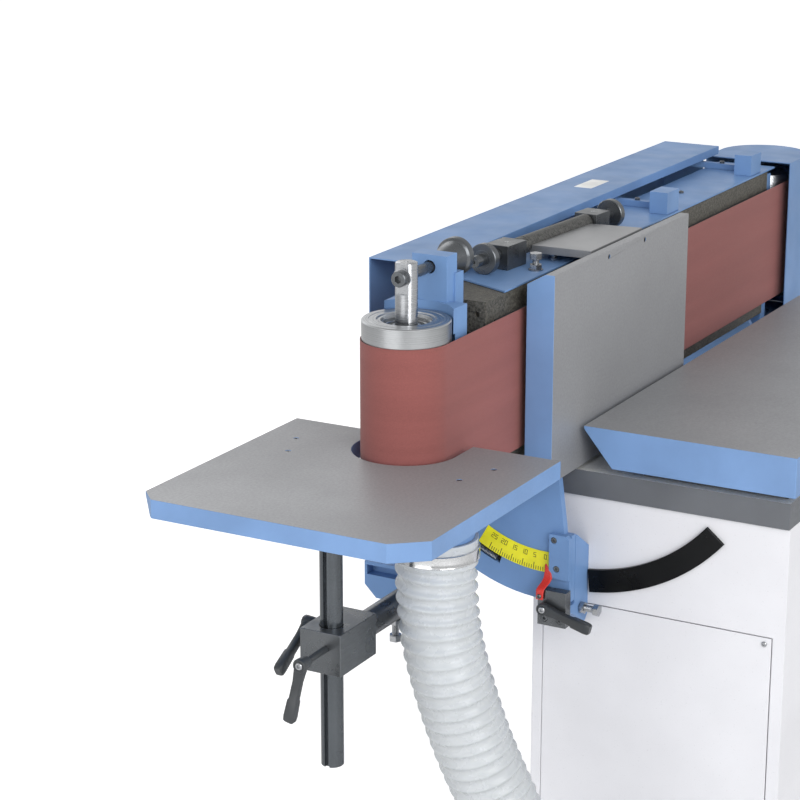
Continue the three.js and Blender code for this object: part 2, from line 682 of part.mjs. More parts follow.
function tensionSpring(parent) {
  const { start, end, turns, radius, wire, z } = SPRING;
  class Coil extends THREE.Curve {
    getPoint(t) {
      const angle = t * Math.PI * 2 * turns;
      const x = start + t * (end - start);
      return new THREE.Vector3(x, radius * Math.cos(angle), z + radius * Math.sin(angle));
    }
  }
  const section = new THREE.Shape();
  section.absarc(0, 0, wire, 0, Math.PI * 2, false);
  const geometry = new THREE.ExtrudeGeometry(section, {
    steps: 60, curveSegments: 3, extrudePath: new Coil(),
  });
  mesh('tension_spring', geometry, brightSteel, parent);
}

// A C-shaped casting round the roller. Its recess is wider below, where the belt runs.
function idlerCarriage(parent) {
  const body = block([30, 72], [-52, 52], [-100, 190]);
  const beltSpace = cylinderZ(65, -66, BELT_TOP + 4);
  const rollerSpace = cylinderZ(62, BELT_TOP, 200);
  const upperPlate = block([62, 90], [-27, 26], [100, 252]);
  const ledge = block([80, 103], [-30, 24], [100, 226]);
  const lowerArm = block([-25, 40], [-28, 28], [-100, -66]);
  const tongue = block(TONGUE.x, TONGUE.y, TONGUE.z);
  const pivotBore = cylinderZ(SHAFT_RADIUS + 0.4, -110, -60);
  const rodBore = cylinderX(ROD_RADIUS + 1.5, 50, 110, 0, TRACKING_Z);
  const knobSpace = cylinderX(KNOB.collar + 4, KNOB.start - 2, 110, 0, TRACKING_Z);
  const frame = cut(join(body, lowerArm), beltSpace, rollerSpace);
  const casting = join(frame, upperPlate, ledge, tongue);
  mesh('idler_carriage', cut(casting, pivotBore, rodBore, knobSpace), bluePaint, parent);
}

function idlerShaft(parent) {
  const profile = [[0, -100], [SHAFT_RADIUS, -100], [SHAFT_RADIUS, 253], [13, SHAFT_TOP], [0, SHAFT_TOP]];
  const flat = block([-20, -11.6], [-20, 20], [213, 260]);
  mesh('idler_shaft', cut(turned(profile), flat), brightSteel, parent);
}

function trackingRod(parent) {
  const rod = cylinderX(ROD_RADIUS, SHAFT_RADIUS + GAP, 162, 0, TRACKING_Z);
  mesh('tracking_rod', rod, blackSteel, parent);
  const head = cut(cylinderX(10, -22, -11.6 - GAP, 0, TRACKING_Z), cylinderX(4, -23, -16, 0, TRACKING_Z));
  mesh('tracking_screw', head, blackSteel, parent);
}

function trackingKnob(parent) {
  const bore = ROD_RADIUS + 1;
  const { start, collar, radius, length } = KNOB;
  const profile = [[bore, 0], [collar, 0], [22, 34], [radius, 37], [radius, length], [bore, length]];
  const knob = mesh('tracking_knob', closedRing(profile), blackSteel, parent, [start, 0, TRACKING_Z]);
  knob.rotation.y = Math.PI / 2;
}

function idlerRoller(parent) {
  const outer = ROLLER_RADIUS;
  const seat = BEARING_RADIUS + GAP;
  const [bottom, top, bore] = [-60, 178.7, 36];
  const profile = [
    [seat, bottom], [outer - 2, bottom], [outer, bottom + 2], [outer, top - 2], [outer - 2, top], [40, top],
    [39, top - 2.2], [34, top - 2.2], [33, 173], [seat, 173], [seat, 152], [bore, 148], [bore, -30],
    [seat, -34],
  ];
  mesh('idler_roller', closedRing(profile, ROLLER_ROUND), aluminium, parent);
}

function bearings(parent) {
  const [inner, outer, width] = [SHAFT_RADIUS + GAP, BEARING_RADIUS, 16];
  for (const [name, z] of [['upper_bearing', 154], ['lower_bearing', -56]]) {
    const [face, seal] = [z + width, z + width - 1];
    const ring = [
      [inner, z], [outer, z], [outer, face], [27, face], [26, seal], [20, seal], [19, face], [inner, face],
    ];
    mesh(name, closedRing(ring), brightSteel, parent);
  }
}

// ---------------------------------------------------------------- fence and its hinge
function fence(parent) {
  const section = shapeOf([
    [FENCE_FRONT, FENCE_BOTTOM], [FENCE_BACK - 16, FENCE_BOTTOM], [FENCE_BACK, FENCE_BOTTOM + 14],
    [FENCE_BACK, FENCE_TOP - 16], [FENCE_FRONT + 14, FENCE_TOP], [FENCE_FRONT, FENCE_TOP],
  ]);
  const face = 14;
  const rib = 16;
  const middle = (FENCE_START + FENCE_END) / 2;
  const pockets = [[FENCE_START + rib, middle - rib / 2], [middle + rib / 2, FENCE_END - rib]].map((span) =>
    block(span, [FENCE_FRONT + face, FENCE_BACK + 1], [FENCE_BOTTOM + 30, 160]));
  const armSeat = block(
    [364, 556], [FENCE_FRONT + 20 - GAP, FENCE_BACK + 1], [ARM.z[0] - GAP, FENCE_TOP + 1]);
  const screwHoles = [388, 515].map((x) =>
    cylinderY(3.5, FENCE_FRONT - 1, FENCE_FRONT + 6, x, FENCE_TOP - 9));
  mesh('fence', cut(alongX(section, FENCE_START, FENCE_END), ...pockets, armSeat, ...screwHoles),
    groundSteel, parent);
}

const HINGE_ANGLE = Math.atan2(HINGE_END[1] - HINGE_START[1], HINGE_END[0] - HINGE_START[0]);
const PIN_RADIUS = 8;
const SLEEVE = { start: 90, end: 293, radius: 13 };
const ARM = { outline: [[371, -94], [369, 10], [541, -2], [552, -94]], z: [194, 206] };

// The sleeve and the flat arm are welded together. The arm lies on the fence's notched back.
function fenceArm(parent) {
  const sleeve = cylinderX(SLEEVE.radius, SLEEVE.start, SLEEVE.end);
  sleeve.rotateZ(HINGE_ANGLE).translate(HINGE_START[0], HINGE_START[1], HINGE_Z);
  const arm = alongZ(shapeOf(ARM.outline), ...ARM.z);
  const bore = cylinderX(PIN_RADIUS + GAP, -20, 380);
  bore.rotateZ(HINGE_ANGLE).translate(HINGE_START[0], HINGE_START[1], HINGE_Z);
  mesh('fence_arm', cut(join(sleeve, arm), bore), groundSteel, parent);
}

function hingeHardware(parent) {
  const hinge = new THREE.Group();
  hinge.position.set(HINGE_START[0], HINGE_START[1], HINGE_Z);
  hinge.rotation.z = HINGE_ANGLE;
  parent.add(hinge);
  const bottom = TOP_PLATE_Z + TOP_PLATE_THICKNESS + GAP - HINGE_Z;
  for (const [name, start, end] of [['hinge_block_left', 36, 88], ['hinge_block_right', 295, 336]]) {
    const body = block([start, end], [-18, 20], [bottom, 13]);
    mesh(name, cut(body, cylinderX(PIN_RADIUS + GAP, start - 1, end + 1)), blackSteel, hinge);
  }
  const disc = { radius: 22, width: 12, starts: [-4, 366] };
  const discs = disc.starts.map((start) => cylinderX(disc.radius, start, start + disc.width));
  const pin = join(cylinderX(PIN_RADIUS, -20, 392), ...discs, cylinderX(9, -24, -4));
  const socket = cylinderX(3, -25, -18);
  mesh('hinge_pin', cut(pin, socket), blackSteel, hinge);
}

function fenceStopScrew(parent) {
  const bottom = TOP_PLATE_Z + TOP_PLATE_THICKNESS + GAP;
  const [head, nut] = [hexagonZ(10, 188, 193.4), hexagonZ(11, bottom, bottom + 3.6)];
  const screw = join(cylinderZ(3, bottom, 192), head, nut);
  mesh('fence_stop_screw', screw, brightSteel, parent, [384, -30, 0]);
}

function tiltingUnit() {
  const group = new THREE.Group();
  platenBeam(group);
  platenPad(group);
  topPlate(group);
  quadrants(group);
  tiltScale(group);
  rearHood(group);
  hoodBrackets(group);
  abrasiveBelt(group);
  driveGuard(group);
  driveRoller(group);
  motorMount(group);
  motor(group);
  lowerBeam(group);
  supportBar(group);
  barLockBolt(group);
  dustScoop(group);
  hoseClamp(group);
  hose(group);
  tensionSpring(group);
  idlerCarriage(group);
  idlerShaft(group);
  trackingRod(group);
  trackingKnob(group);
  idlerRoller(group);
  bearings(group);
  fence(group);
  fenceArm(group);
  hingeHardware(group);
  fenceStopScrew(group);
  return group;
}

// ---------------------------------------------------------------- small table at the idler end
function smallTableTop(parent) {
  const { x: [x0, x1], y: [y0, y1], rim, notchRadius, backCorner, frontCorner, screws } = SMALL_TABLE;
  const outline = new THREE.Shape();
  outline.moveTo(x1, y0);
  outline.lineTo(x1, -notchRadius);
  outline.lineTo(0, -notchRadius);
  outline.absarc(0, 0, notchRadius, -Math.PI / 2, Math.PI / 2, true);
  outline.lineTo(x1, notchRadius);
  outline.lineTo(x1, y1);
  outline.lineTo(x0 + backCorner, y1);
  outline.lineTo(x0, y1 - backCorner);
  outline.lineTo(x0, y0 + frontCorner[1]);
  outline.lineTo(x0 + frontCorner[0], y0);
  outline.closePath();
  const plate = alongZ(outline, -rim, 0);
  const below = -rim - 1;
  const undercut = alongX(shapeOf([[y1 - 20, below], [y1 + 1, below], [y1 + 1, -4]]), x0 - 1, x1 + 1);
  const holes = screws.centres.map(([x, y]) => cylinderZ(screws.radius, -screws.depth, 1, x, y));
  mesh('small_table', cut(plate, undercut, ...holes), groundSteel, parent);
}

function tablePost(parent) {
  const flangeTop = -SMALL_TABLE.rim - GAP;
  const [bottom, flangeRadius, flange] = [-375, 32, 10];
  const profile = [
    [0, bottom], [POST_RADIUS, bottom], [POST_RADIUS, flangeTop - flange], [flangeRadius, flangeTop - flange],
    [flangeRadius, flangeTop], [0, flangeTop],
  ];
  const keySlot = block([-20, -9], [-4, 4], [bottom - 5, bottom + 125]);
  mesh('table_post', cut(turned(profile), keySlot), blackSteel, parent, [POST_X, 0, 0]);
}

function clampBlock(parent) {
  const { x, y, z } = CLAMP_BLOCK;
  const postBore = cylinderZ(POST_RADIUS + GAP, z[0] - 1, z[1] + 1, POST_X, 0);
  const barBore = cylinderX(BAR_RADIUS + GAP, BAR_START - 2.5, x[1] + 1, 0, BAR_Z);
  mesh('clamp_block', cut(block(x, y, z), postBore, barBore), blackSteel, parent);
}

function clampLevers(parent) {
  const post = mesh('post_clamp_lever', clampLever(50, 80), blackPlastic, parent,
    [CLAMP_BLOCK.x[0] - GAP, -8, -205]);
  aimLever(post, [-1, 0, 0], [0, 0.17, -0.985]);
  const bar = mesh('bar_clamp_lever', clampLever(14, 86), blackPlastic, parent,
    [-165, CLAMP_BLOCK.y[1] + GAP, -200]);
  aimLever(bar, [0, 1, 0], [-0.864, 0, -0.504]);
}

function smallTable() {
  const group = new THREE.Group();
  smallTableTop(group);
  tablePost(group);
  clampBlock(group);
  clampLevers(group);
  return group;
}

// ---------------------------------------------------------------- the whole machine
const machine = new THREE.Group();
machine.position.set(-(PLINTH.x[0] + PLINTH.x[1]) / 2, -(PLINTH.y[0] + PLINTH.y[1]) / 2, -FLOOR);
machine.add(base(), tiltingUnit(), smallTable());

const beltGrinder = new THREE.Group();
beltGrinder.add(machine);

export default beltGrinder;
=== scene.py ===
"""Looks of an edge belt grinder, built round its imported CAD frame. Lengths are metres."""
import json
import math
import random

import bmesh
import bpy
from mathutils import Matrix, Vector


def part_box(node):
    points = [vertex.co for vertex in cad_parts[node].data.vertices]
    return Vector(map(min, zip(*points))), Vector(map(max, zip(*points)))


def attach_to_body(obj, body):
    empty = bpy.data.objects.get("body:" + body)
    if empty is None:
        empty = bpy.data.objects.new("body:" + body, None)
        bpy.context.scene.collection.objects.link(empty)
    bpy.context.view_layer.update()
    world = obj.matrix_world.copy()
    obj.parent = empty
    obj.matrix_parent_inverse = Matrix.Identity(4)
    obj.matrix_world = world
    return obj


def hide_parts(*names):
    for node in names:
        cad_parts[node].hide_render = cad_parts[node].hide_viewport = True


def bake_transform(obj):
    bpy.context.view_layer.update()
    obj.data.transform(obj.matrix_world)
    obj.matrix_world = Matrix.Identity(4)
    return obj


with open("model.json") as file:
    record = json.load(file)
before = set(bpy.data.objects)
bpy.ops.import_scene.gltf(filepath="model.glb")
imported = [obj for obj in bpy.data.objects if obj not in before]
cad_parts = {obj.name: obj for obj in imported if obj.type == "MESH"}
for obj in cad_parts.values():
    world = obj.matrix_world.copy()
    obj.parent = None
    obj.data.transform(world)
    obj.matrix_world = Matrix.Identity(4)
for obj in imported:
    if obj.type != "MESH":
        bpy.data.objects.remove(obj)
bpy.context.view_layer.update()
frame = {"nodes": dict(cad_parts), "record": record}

MM = 0.001
NODES = frame["nodes"]
RECORD = frame["record"]
SLOT_OF = {part["node"]: part["material_slot"] for part in RECORD["subparts"]}


# ---- places read from the frame
def centre(node):
    low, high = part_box(node)
    return (low + high) / 2


IDLER = centre("idler_roller")
IDLER.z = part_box("small_table")[1].z
DRIVE = centre("drive_roller")
TILT_AXIS = Vector(next(
    joint["pos_m"] for joint in RECORD["behaviour"]["joints"] if joint["name"] == "unit_tilt"))
DRIVE_X = (DRIVE.x - IDLER.x) / MM
UP = (0, 0, 1)

# Driving dimensions in millimetres, on the axes that at() uses.
ROLLER_RADIUS = 59.5
BEARING_SEAT = 31.3
SHAFT_RADIUS = 15
BELT_INSIDE, BELT_OUTSIDE = 60.4, 61.2
BELT_LOW, BELT_HIGH = -48, 152
BAR_RADIUS, BAR_Z = 18, -212
POST_RADIUS, POST_X = 15, -198
TABLE_NOTCH = 73
PORT_X, PORT_Y = -62, -80
PLATE_TOP = 183
SCALE_INNER, SCALE_OUTER = 183, 214
LOW_PORT_Y, LOW_PORT_Z = -240, -805


def at(x, y, z):
    """A place in millimetres from the idler axis at the small table's top, as a row-frame point."""
    return IDLER + Vector((x, y, z)) * MM


# ---- node-tree helpers
class Nodes:
    """Short names for the few shader nodes that the materials and the sky use."""

    def __init__(self, owner, shader):
        owner.use_nodes = True
        self.owner = owner
        self.tree = owner.node_tree
        self.shader = self.tree.nodes[shader]
        self.coordinates = self.add("TexCoord")

    def feed(self, socket, value):
        """Links another node's output, or sets a number, a vector or a colour."""
        if isinstance(value, bpy.types.NodeSocket):
            self.tree.links.new(value, socket)
        elif socket.type == "RGBA":
            socket.default_value = (*value, 1)
        else:
            socket.default_value = value

    def add(self, kind, **inputs):
        """A new node. Each argument feeds the input of its name, with _ for a space."""
        node = self.tree.nodes.new("ShaderNode" + kind)
        for name, value in inputs.items():
            self.feed(node.inputs[name.replace("_", " ")], value)
        return node

    def put(self, socket, value):
        self.feed(self.shader.inputs[socket], value)

    def part(self, space, axis):
        """One component of the object's own place or normal, or of the sky's direction."""
        return self.add("SeparateXYZ", Vector=self.coordinates.outputs[space]).outputs[axis]

    def mapping(self, scale=(1, 1, 1)):
        node = self.add("Mapping", Scale=scale, Vector=self.coordinates.outputs["Object"])
        return node.outputs["Vector"]

    def noise(self, scale, detail=3, stretch=(1, 1, 1), roughness=0.5):
        return self.add("TexNoise", Scale=scale, Detail=detail, Roughness=roughness,
                        Vector=self.mapping(stretch)).outputs["Fac"]

    def voronoi(self, scale):
        return self.add("TexVoronoi", Scale=scale, Vector=self.mapping()).outputs["Distance"]

    def remap(self, value, low, high, to_low=0.0, to_high=1.0):
        return self.add("MapRange", Value=value, From_Min=low, From_Max=high,
                        To_Min=to_low, To_Max=to_high).outputs["Result"]

    def math(self, operation, first, second=0.0):
        node = self.add("Math")
        node.operation = operation
        self.feed(node.inputs[0], first)
        self.feed(node.inputs[1], second)
        return node.outputs["Value"]

    def mix(self, factor, first, second):
        """A colour between two; the mix node's colour sockets are its inputs 6 and 7 and output 2."""
        node = self.add("Mix")
        node.data_type = "RGBA"
        for index, value in ((0, factor), (6, first), (7, second)):
            self.feed(node.inputs[index], value)
        return node.outputs[2]

    def bump(self, height, strength, distance, **under):
        node = self.add("Bump", Strength=strength, Distance=distance, Height=height, **under)
        return node.outputs["Normal"]

    def lathe(self, scale):
        """Fine rings round the object's own Z axis, on its sides and on its end faces."""
        x, y, z = (self.part("Object", axis) for axis in "XYZ")
        square = self.math("ADD", self.math("MULTIPLY", x, x), self.math("MULTIPLY", y, y))
        around = self.math("MULTIPLY", self.math("SQRT", square), scale)
        rings = self.add("CombineXYZ", X=around, Y=self.math("MULTIPLY", z, scale))
        return self.add("TexNoise", Scale=1, Detail=4, Vector=rings.outputs["Vector"]).outputs["Fac"]

    def edge_wear(self, radius=0.0012):
        """Near 1 on convex edges, 0 on flat surfaces. The materials lighten colour with it: partly rubbed
        wear, partly a painted edge highlight.
        """
        rounded = self.add("Bevel", Radius=radius)
        rounded.samples = 4
        dot = self.add("VectorMath")
        dot.operation = "DOT_PRODUCT"
        self.feed(dot.inputs[0], rounded.outputs["Normal"])
        self.feed(dot.inputs[1], self.add("NewGeometry").outputs["Normal"])
        return self.remap(dot.outputs["Value"], 0.98, 0.8)


def shading(name):
    """The nodes of a new material."""
    return Nodes(bpy.data.materials.new(name), "Principled BSDF")


def srgb(red, green, blue):
    """A linear colour from 0-255 display values."""
    def linear(value):
        value /= 255
        return value / 12.92 if value <= 0.04045 else ((value + 0.055) / 1.055) ** 2.4
    return tuple(linear(value) for value in (red, green, blue))


def shade(color, factor):
    return tuple(min(1.0, channel * factor) for channel in color)


# ---- materials
def painted(name, color, roughness=0.38, orange_peel=0.12, dirt=0.1):
    """Powder coat: faint orange peel, slow tone changes, and lighter edges that are partly rubbed wear and
    partly a painted highlight.
    """
    n = shading(name)
    tone = n.remap(n.noise(9, 4), 0.35, 0.65)
    base = n.mix(tone, shade(color, 1 - dirt), shade(color, 1 + dirt * 0.5))
    specks = n.remap(n.noise(420, 2), 0.66, 0.74, 0, 0.35)
    base = n.mix(specks, base, shade(color, 0.72))
    # Edges lightened towards 1.7 times the paint colour: partly rubbed wear, partly a painted edge
    # highlight.
    base = n.mix(n.math("MULTIPLY", n.edge_wear(), n.remap(n.noise(60, 3), 0.45, 0.65, 0, 0.35)),
                 base, shade(color, 1.7))
    n.put("Base Color", base)
    n.put("Roughness", n.remap(n.noise(24, 3), 0.3, 0.7, roughness - 0.06, roughness + 0.08))
    n.put("Specular IOR Level", 0.2)
    n.put("Normal", n.bump(n.noise(900, 2), orange_peel, 0.00012))
    return n.owner


def machined(name, color, stretch, roughness=0.36, streak=0.1, metallic=0.75):
    """Ground or milled metal: long fine lines, blotches of tone, a few scratches."""
    n = shading(name)
    lines = n.noise(1, 6, stretch, 0.65)
    blotch = n.noise(11, 4)
    base = n.mix(n.remap(lines, 0.3, 0.7), shade(color, 1 - streak), shade(color, 1 + streak))
    base = n.mix(n.remap(blotch, 0.35, 0.7, 0, 0.3), base, shade(color, 0.8))
    n.put("Base Color", base)
    n.put("Metallic", metallic)
    n.put("Roughness", n.math("ADD", n.remap(lines, 0.3, 0.7, roughness - 0.05, roughness + 0.08),
                              n.remap(blotch, 0.3, 0.7, -0.04, 0.05)))
    n.put("Normal", n.bump(lines, 0.12, 0.0002))
    return n.owner


def facing_up(n):
    return n.remap(n.part("Normal", "Z"), 0.85, 0.95)


def facing_front(n):
    return n.remap(n.part("Normal", "X"), -0.5, -0.6, 1, 0)


def two_finish(name, ground, paint, test, roughness=0.46):
    """A casting, ground where the test gives 1 and painted where it gives 0."""
    n = shading(name)
    where = test(n)
    lines = n.noise(1, 6, (300, 300, 300), 0.6)
    grain = n.noise(260, 5)
    blotch = n.noise(7, 5)
    metal = n.mix(n.remap(lines, 0.3, 0.7), shade(ground, 0.88), shade(ground, 1.1))
    metal = n.mix(n.remap(blotch, 0.35, 0.7, 0, 0.35), metal, shade(ground, 0.78))
    tone = n.mix(n.remap(n.noise(10, 4), 0.35, 0.65), shade(paint, 0.9), shade(paint, 1.06))
    n.put("Base Color", n.mix(where, tone, metal))
    n.put("Metallic", n.math("MULTIPLY", where, 0.3))
    n.put("Roughness", n.math("ADD", n.remap(grain, 0.3, 0.7, roughness - 0.05, roughness + 0.07),
                              n.remap(blotch, 0.3, 0.7, -0.04, 0.05)))
    n.put("Normal", n.bump(n.noise(700, 3), 0.14, 0.00015))
    return n.owner


def turned_metal(name, color, ring_scale=900, roughness=0.2):
    """Lathe work: fine rings along the axis and on the end faces."""
    n = shading(name)
    rings = n.lathe(ring_scale)
    base = n.mix(n.remap(rings, 0.3, 0.7), shade(color, 0.8), shade(color, 1.12))
    base = n.mix(n.remap(n.noise(14, 3), 0.45, 0.75, 0, 0.25), base, shade(color, 0.75))
    n.put("Base Color", base)
    n.put("Metallic", 1.0)
    n.put("Roughness", n.remap(rings, 0.3, 0.7, roughness - 0.05, roughness + 0.1))
    n.put("Normal", n.bump(rings, 0.1, 0.0001))
    return n.owner


def abrasive_cloth():
    """Closely packed mineral grains in a red-brown bond, with slightly worn streaks along the run."""
    n = shading("abrasive_cloth")
    color = srgb(150, 88, 84)
    grains = n.voronoi(1500)
    fine = n.noise(2600, 3)
    base = n.mix(n.remap(grains, 0.1, 0.55), shade(color, 1.25), shade(color, 0.72))
    base = n.mix(n.remap(fine, 0.4, 0.7), base, shade(color, 0.85))
    base = n.mix(n.remap(n.noise(1, 4, (3, 3, 55)), 0.4, 0.7, 0, 0.3), base, shade(color, 1.15))
    n.put("Base Color", base)
    n.put("Roughness", n.remap(fine, 0.3, 0.7, 0.72, 0.92))
    n.put("Specular IOR Level", 0.35)
    n.put("Sheen Weight", 0.15)
    grain_bump = n.bump(grains, 0.55, 0.0004)
    n.put("Normal", n.bump(fine, 0.3, 0.0002, Normal=grain_bump))
    return n.owner


def rough_cast(name, color, roughness=0.62, metallic=0.3, pits=0.7):
    """Sand-cast iron: coarse pebbled skin with bright flecks."""
    n = shading(name)
    pebbles = n.noise(260, 5, roughness=0.75)
    cells = n.voronoi(420)
    base = n.mix(n.remap(pebbles, 0.38, 0.62), shade(color, 0.4), shade(color, 1.6))
    base = n.mix(n.remap(cells, 0.0, 0.2, 0.9, 0), base, shade(color, 3.6))
    n.put("Base Color", base)
    n.put("Metallic", metallic)
    n.put("Roughness", n.remap(pebbles, 0.3, 0.7, roughness - 0.15, roughness + 0.15))
    n.put("Normal", n.bump(pebbles, pits, 0.002))
    return n.owner


def blackened(name, color, roughness=0.34, metallic=0.55):
    """Oil-blackened steel: nearly even tone, fine machining lines, and edges lightened partly as rubbed wear
    and partly as a painted highlight.
    """
    n = shading(name)
    lines = n.noise(1, 5, (90, 700, 700), 0.6)
    base = n.mix(n.remap(lines, 0.3, 0.7), shade(color, 0.85), shade(color, 1.18))
    base = n.mix(n.remap(n.noise(18, 4), 0.4, 0.7, 0, 0.35), base, shade(color, 1.35))
    # Edges lightened towards 3 times the steel colour: partly rubbed wear, partly a painted edge highlight.
    base = n.mix(n.math("MULTIPLY", n.edge_wear(0.0009), 0.55), base, shade(color, 3.0))
    n.put("Base Color", base)
    n.put("Metallic", metallic)
    n.put("Roughness", n.remap(n.noise(45, 4), 0.3, 0.7, roughness - 0.07, roughness + 0.12))
    n.put("Normal", n.bump(lines, 0.12, 0.00012))
    return n.owner


def plastic(name, color, roughness=0.42, texture=0.15):
    n = shading(name)
    grain = n.noise(1400, 2)
    base = n.mix(n.remap(n.noise(30, 3), 0.35, 0.7), shade(color, 0.88), shade(color, 1.12))
    # Edges lightened towards twice the plastic colour: partly wear, partly a painted edge highlight.
    base = n.mix(n.math("MULTIPLY", n.edge_wear(0.0008), 0.3), base, shade(color, 2.0))
    n.put("Base Color", base)
    n.put("Roughness", n.remap(grain, 0.3, 0.7, roughness - 0.06, roughness + 0.08))
    n.put("Normal", n.bump(grain, texture, 0.0001))
    return n.owner


def clear_hose():
    """Thin translucent sheet wound on a stiff spiral: milky, glossy, with painted shade darkening the
    grooves.
    """
    n = shading("clear_hose")
    color = srgb(196, 200, 203)
    base = n.mix(n.remap(n.noise(16, 4), 0.35, 0.7), shade(color, 0.97), shade(color, 1.03))
    # Painted shade: the hollow grooves, found by low pointiness, are darkened to nearly half the hose
    # colour.
    curvature = n.add("NewGeometry").outputs["Pointiness"]
    base = n.mix(n.remap(curvature, 0.485, 0.43, 0, 0.9), base, shade(color, 0.45))
    n.put("Base Color", base)
    n.put("Roughness", n.remap(n.noise(60, 3), 0.3, 0.7, 0.24, 0.3))
    n.put("Transmission Weight", 0.08)
    n.put("IOR", 1.42)
    n.put("Subsurface Weight", 0.2)
    n.put("Subsurface Radius", (0.01, 0.01, 0.012))
    n.put("Subsurface Scale", 0.3)
    n.put("Normal", n.bump(n.noise(90, 2), 0.03, 0.0003))
    return n.owner


BLUE = srgb(112, 146, 192)
STEEL = srgb(152, 153, 156)
MATERIALS = {
    "blue_paint": painted("blue_powder_coat", BLUE),
    "white_paint": painted("white_powder_coat", srgb(222, 222, 226), 0.42, 0.1, 0.03),
    "ground_steel": machined("ground_steel", srgb(160, 161, 163), (40, 700, 700)),
    "cast_dark": rough_cast("rough_cast_iron", srgb(90, 88, 82)),
    "black_steel": blackened("blackened_steel", srgb(98, 101, 104), 0.28, 0.8),
    "bright_steel": turned_metal("bright_steel", srgb(176, 178, 181), 1500, 0.24),
    "aluminium": turned_metal("turned_aluminium", srgb(184, 186, 188), 1100, 0.3),
    "abrasive": abrasive_cloth(),
    "graphite": rough_cast("graphite_cloth", srgb(44, 45, 47), 0.7, 0.0, 0.3),
    "black_plastic": plastic("black_plastic", srgb(54, 57, 60), 0.34),
    "yellow_scale": plastic("yellow_foil", srgb(236, 229, 24), 0.35, 0.04),
    "red_plastic": plastic("red_plastic", srgb(214, 58, 50), 0.3, 0.05),
    "green_plastic": plastic("green_plastic", srgb(45, 139, 70), 0.3, 0.05),
    "hose_plastic": clear_hose(),
    "motor_paint": painted("motor_paint", srgb(84, 89, 94), 0.45, 0.2),
    "switch_plastic": plastic("switch_plastic", srgb(58, 61, 64), 0.5, 0.2),
    "table_casting": two_finish("table_casting", STEEL, BLUE, facing_up),
}
FENCE_FINISH = two_finish("fence_casting", STEEL, BLUE, facing_front)
INK = plastic("black_ink", srgb(24, 24, 22), 0.5, 0.02)
GLOSS_BLACK = painted("gloss_black_enamel", srgb(8, 9, 11), 0.3, 0.03, 0.05)
MILL_SCALE = rough_cast("mill_scale", srgb(80, 80, 78), 0.45, 0.5, 0.2)
POLISHED_BAND = turned_metal("polished_band", srgb(214, 215, 216), 600, 0.14)
POLISHED_BLACK = blackened("polished_black_steel", srgb(88, 92, 96), 0.16, 0.85)
# The bed plate's ground top is painted near-white, a painted highlight over the pale ground steel, and its
# sides a darker grey that is painted shade.
BED_LIGHT_AND_SHADE_FINISH = two_finish("bed_painted_light_and_shade", srgb(232, 232, 228), srgb(96, 99, 104), facing_up)
OVERRIDES = {"fence": FENCE_FINISH, "arc_rail": GLOSS_BLACK, "bed_plate": BED_LIGHT_AND_SHADE_FINISH}


# ---- mesh helpers
def link_new(name, data):
    piece = bpy.data.objects.new(name, data)
    bpy.context.scene.collection.objects.link(piece)
    return piece


def attach(piece, body, replaces=()):
    """Makes a piece ride on a body and stand for the CAD nodes it replaces, which it hides."""
    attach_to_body(piece, body)
    if replaces:
        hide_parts(*replaces)
    return piece


def mark_smooth(bm, angle=32):
    limit = math.radians(angle)
    bm.normal_update()
    for face in bm.faces:
        face.smooth = True
    for edge in bm.edges:
        edge.smooth = len(edge.link_faces) == 2 and edge.calc_face_angle(0) < limit


def bevel(piece, width, segments=2, angle=35):
    modifier = piece.modifiers.new("bevel", "BEVEL")
    modifier.width = width * MM
    modifier.segments = segments
    modifier.limit_method = "ANGLE"
    modifier.angle_limit = math.radians(angle)
    modifier.harden_normals = True
    modifier.use_clamp_overlap = True
    return piece


def to_object(name, bm, material, smooth):
    """Turns a bmesh into an object with one material. A blended piece rides on no body."""
    bmesh.ops.recalc_face_normals(bm, faces=bm.faces)
    mark_smooth(bm, smooth)
    mesh = bpy.data.meshes.new(name)
    bm.to_mesh(mesh)
    bm.free()
    mesh.materials.append(material)
    return link_new(name, mesh)


def soft_piece(name, bm, slot, smooth):
    piece = to_object(name, bm, MATERIALS[slot], smooth)
    return piece


def finish_mesh(name, bm, body, slot, replaces=(), smooth=32, place=None, material=None):
    bmesh.ops.remove_doubles(bm, verts=bm.verts, dist=1e-6)
    piece = to_object(name, bm, material or MATERIALS[slot], smooth)
    if place is not None:
        piece.matrix_world = place
    return attach(piece, body, replaces)


def frame_of(axis):
    """A rotation that takes +Z to the given axis."""
    return Vector(axis).to_track_quat("Z", "Y").to_matrix().to_4x4()


def stitch(bm, rows, closed=False):
    """Joins rings of vertices with quads. The last ring meets the first, or both ends get a cap."""
    pairs = list(zip(rows, rows[1:]))
    if closed:
        pairs.append((rows[-1], rows[0]))
    count = len(rows[0])
    for low, high in pairs:
        for i in range(count):
            j = (i + 1) % count
            bm.faces.new([low[i], low[j], high[j], high[i]])
    if not closed:
        bm.faces.new(list(reversed(rows[0])))
        bm.faces.new(rows[-1])
    return bm


def angles(count):
    return [2 * math.pi * i / count for i in range(count)]


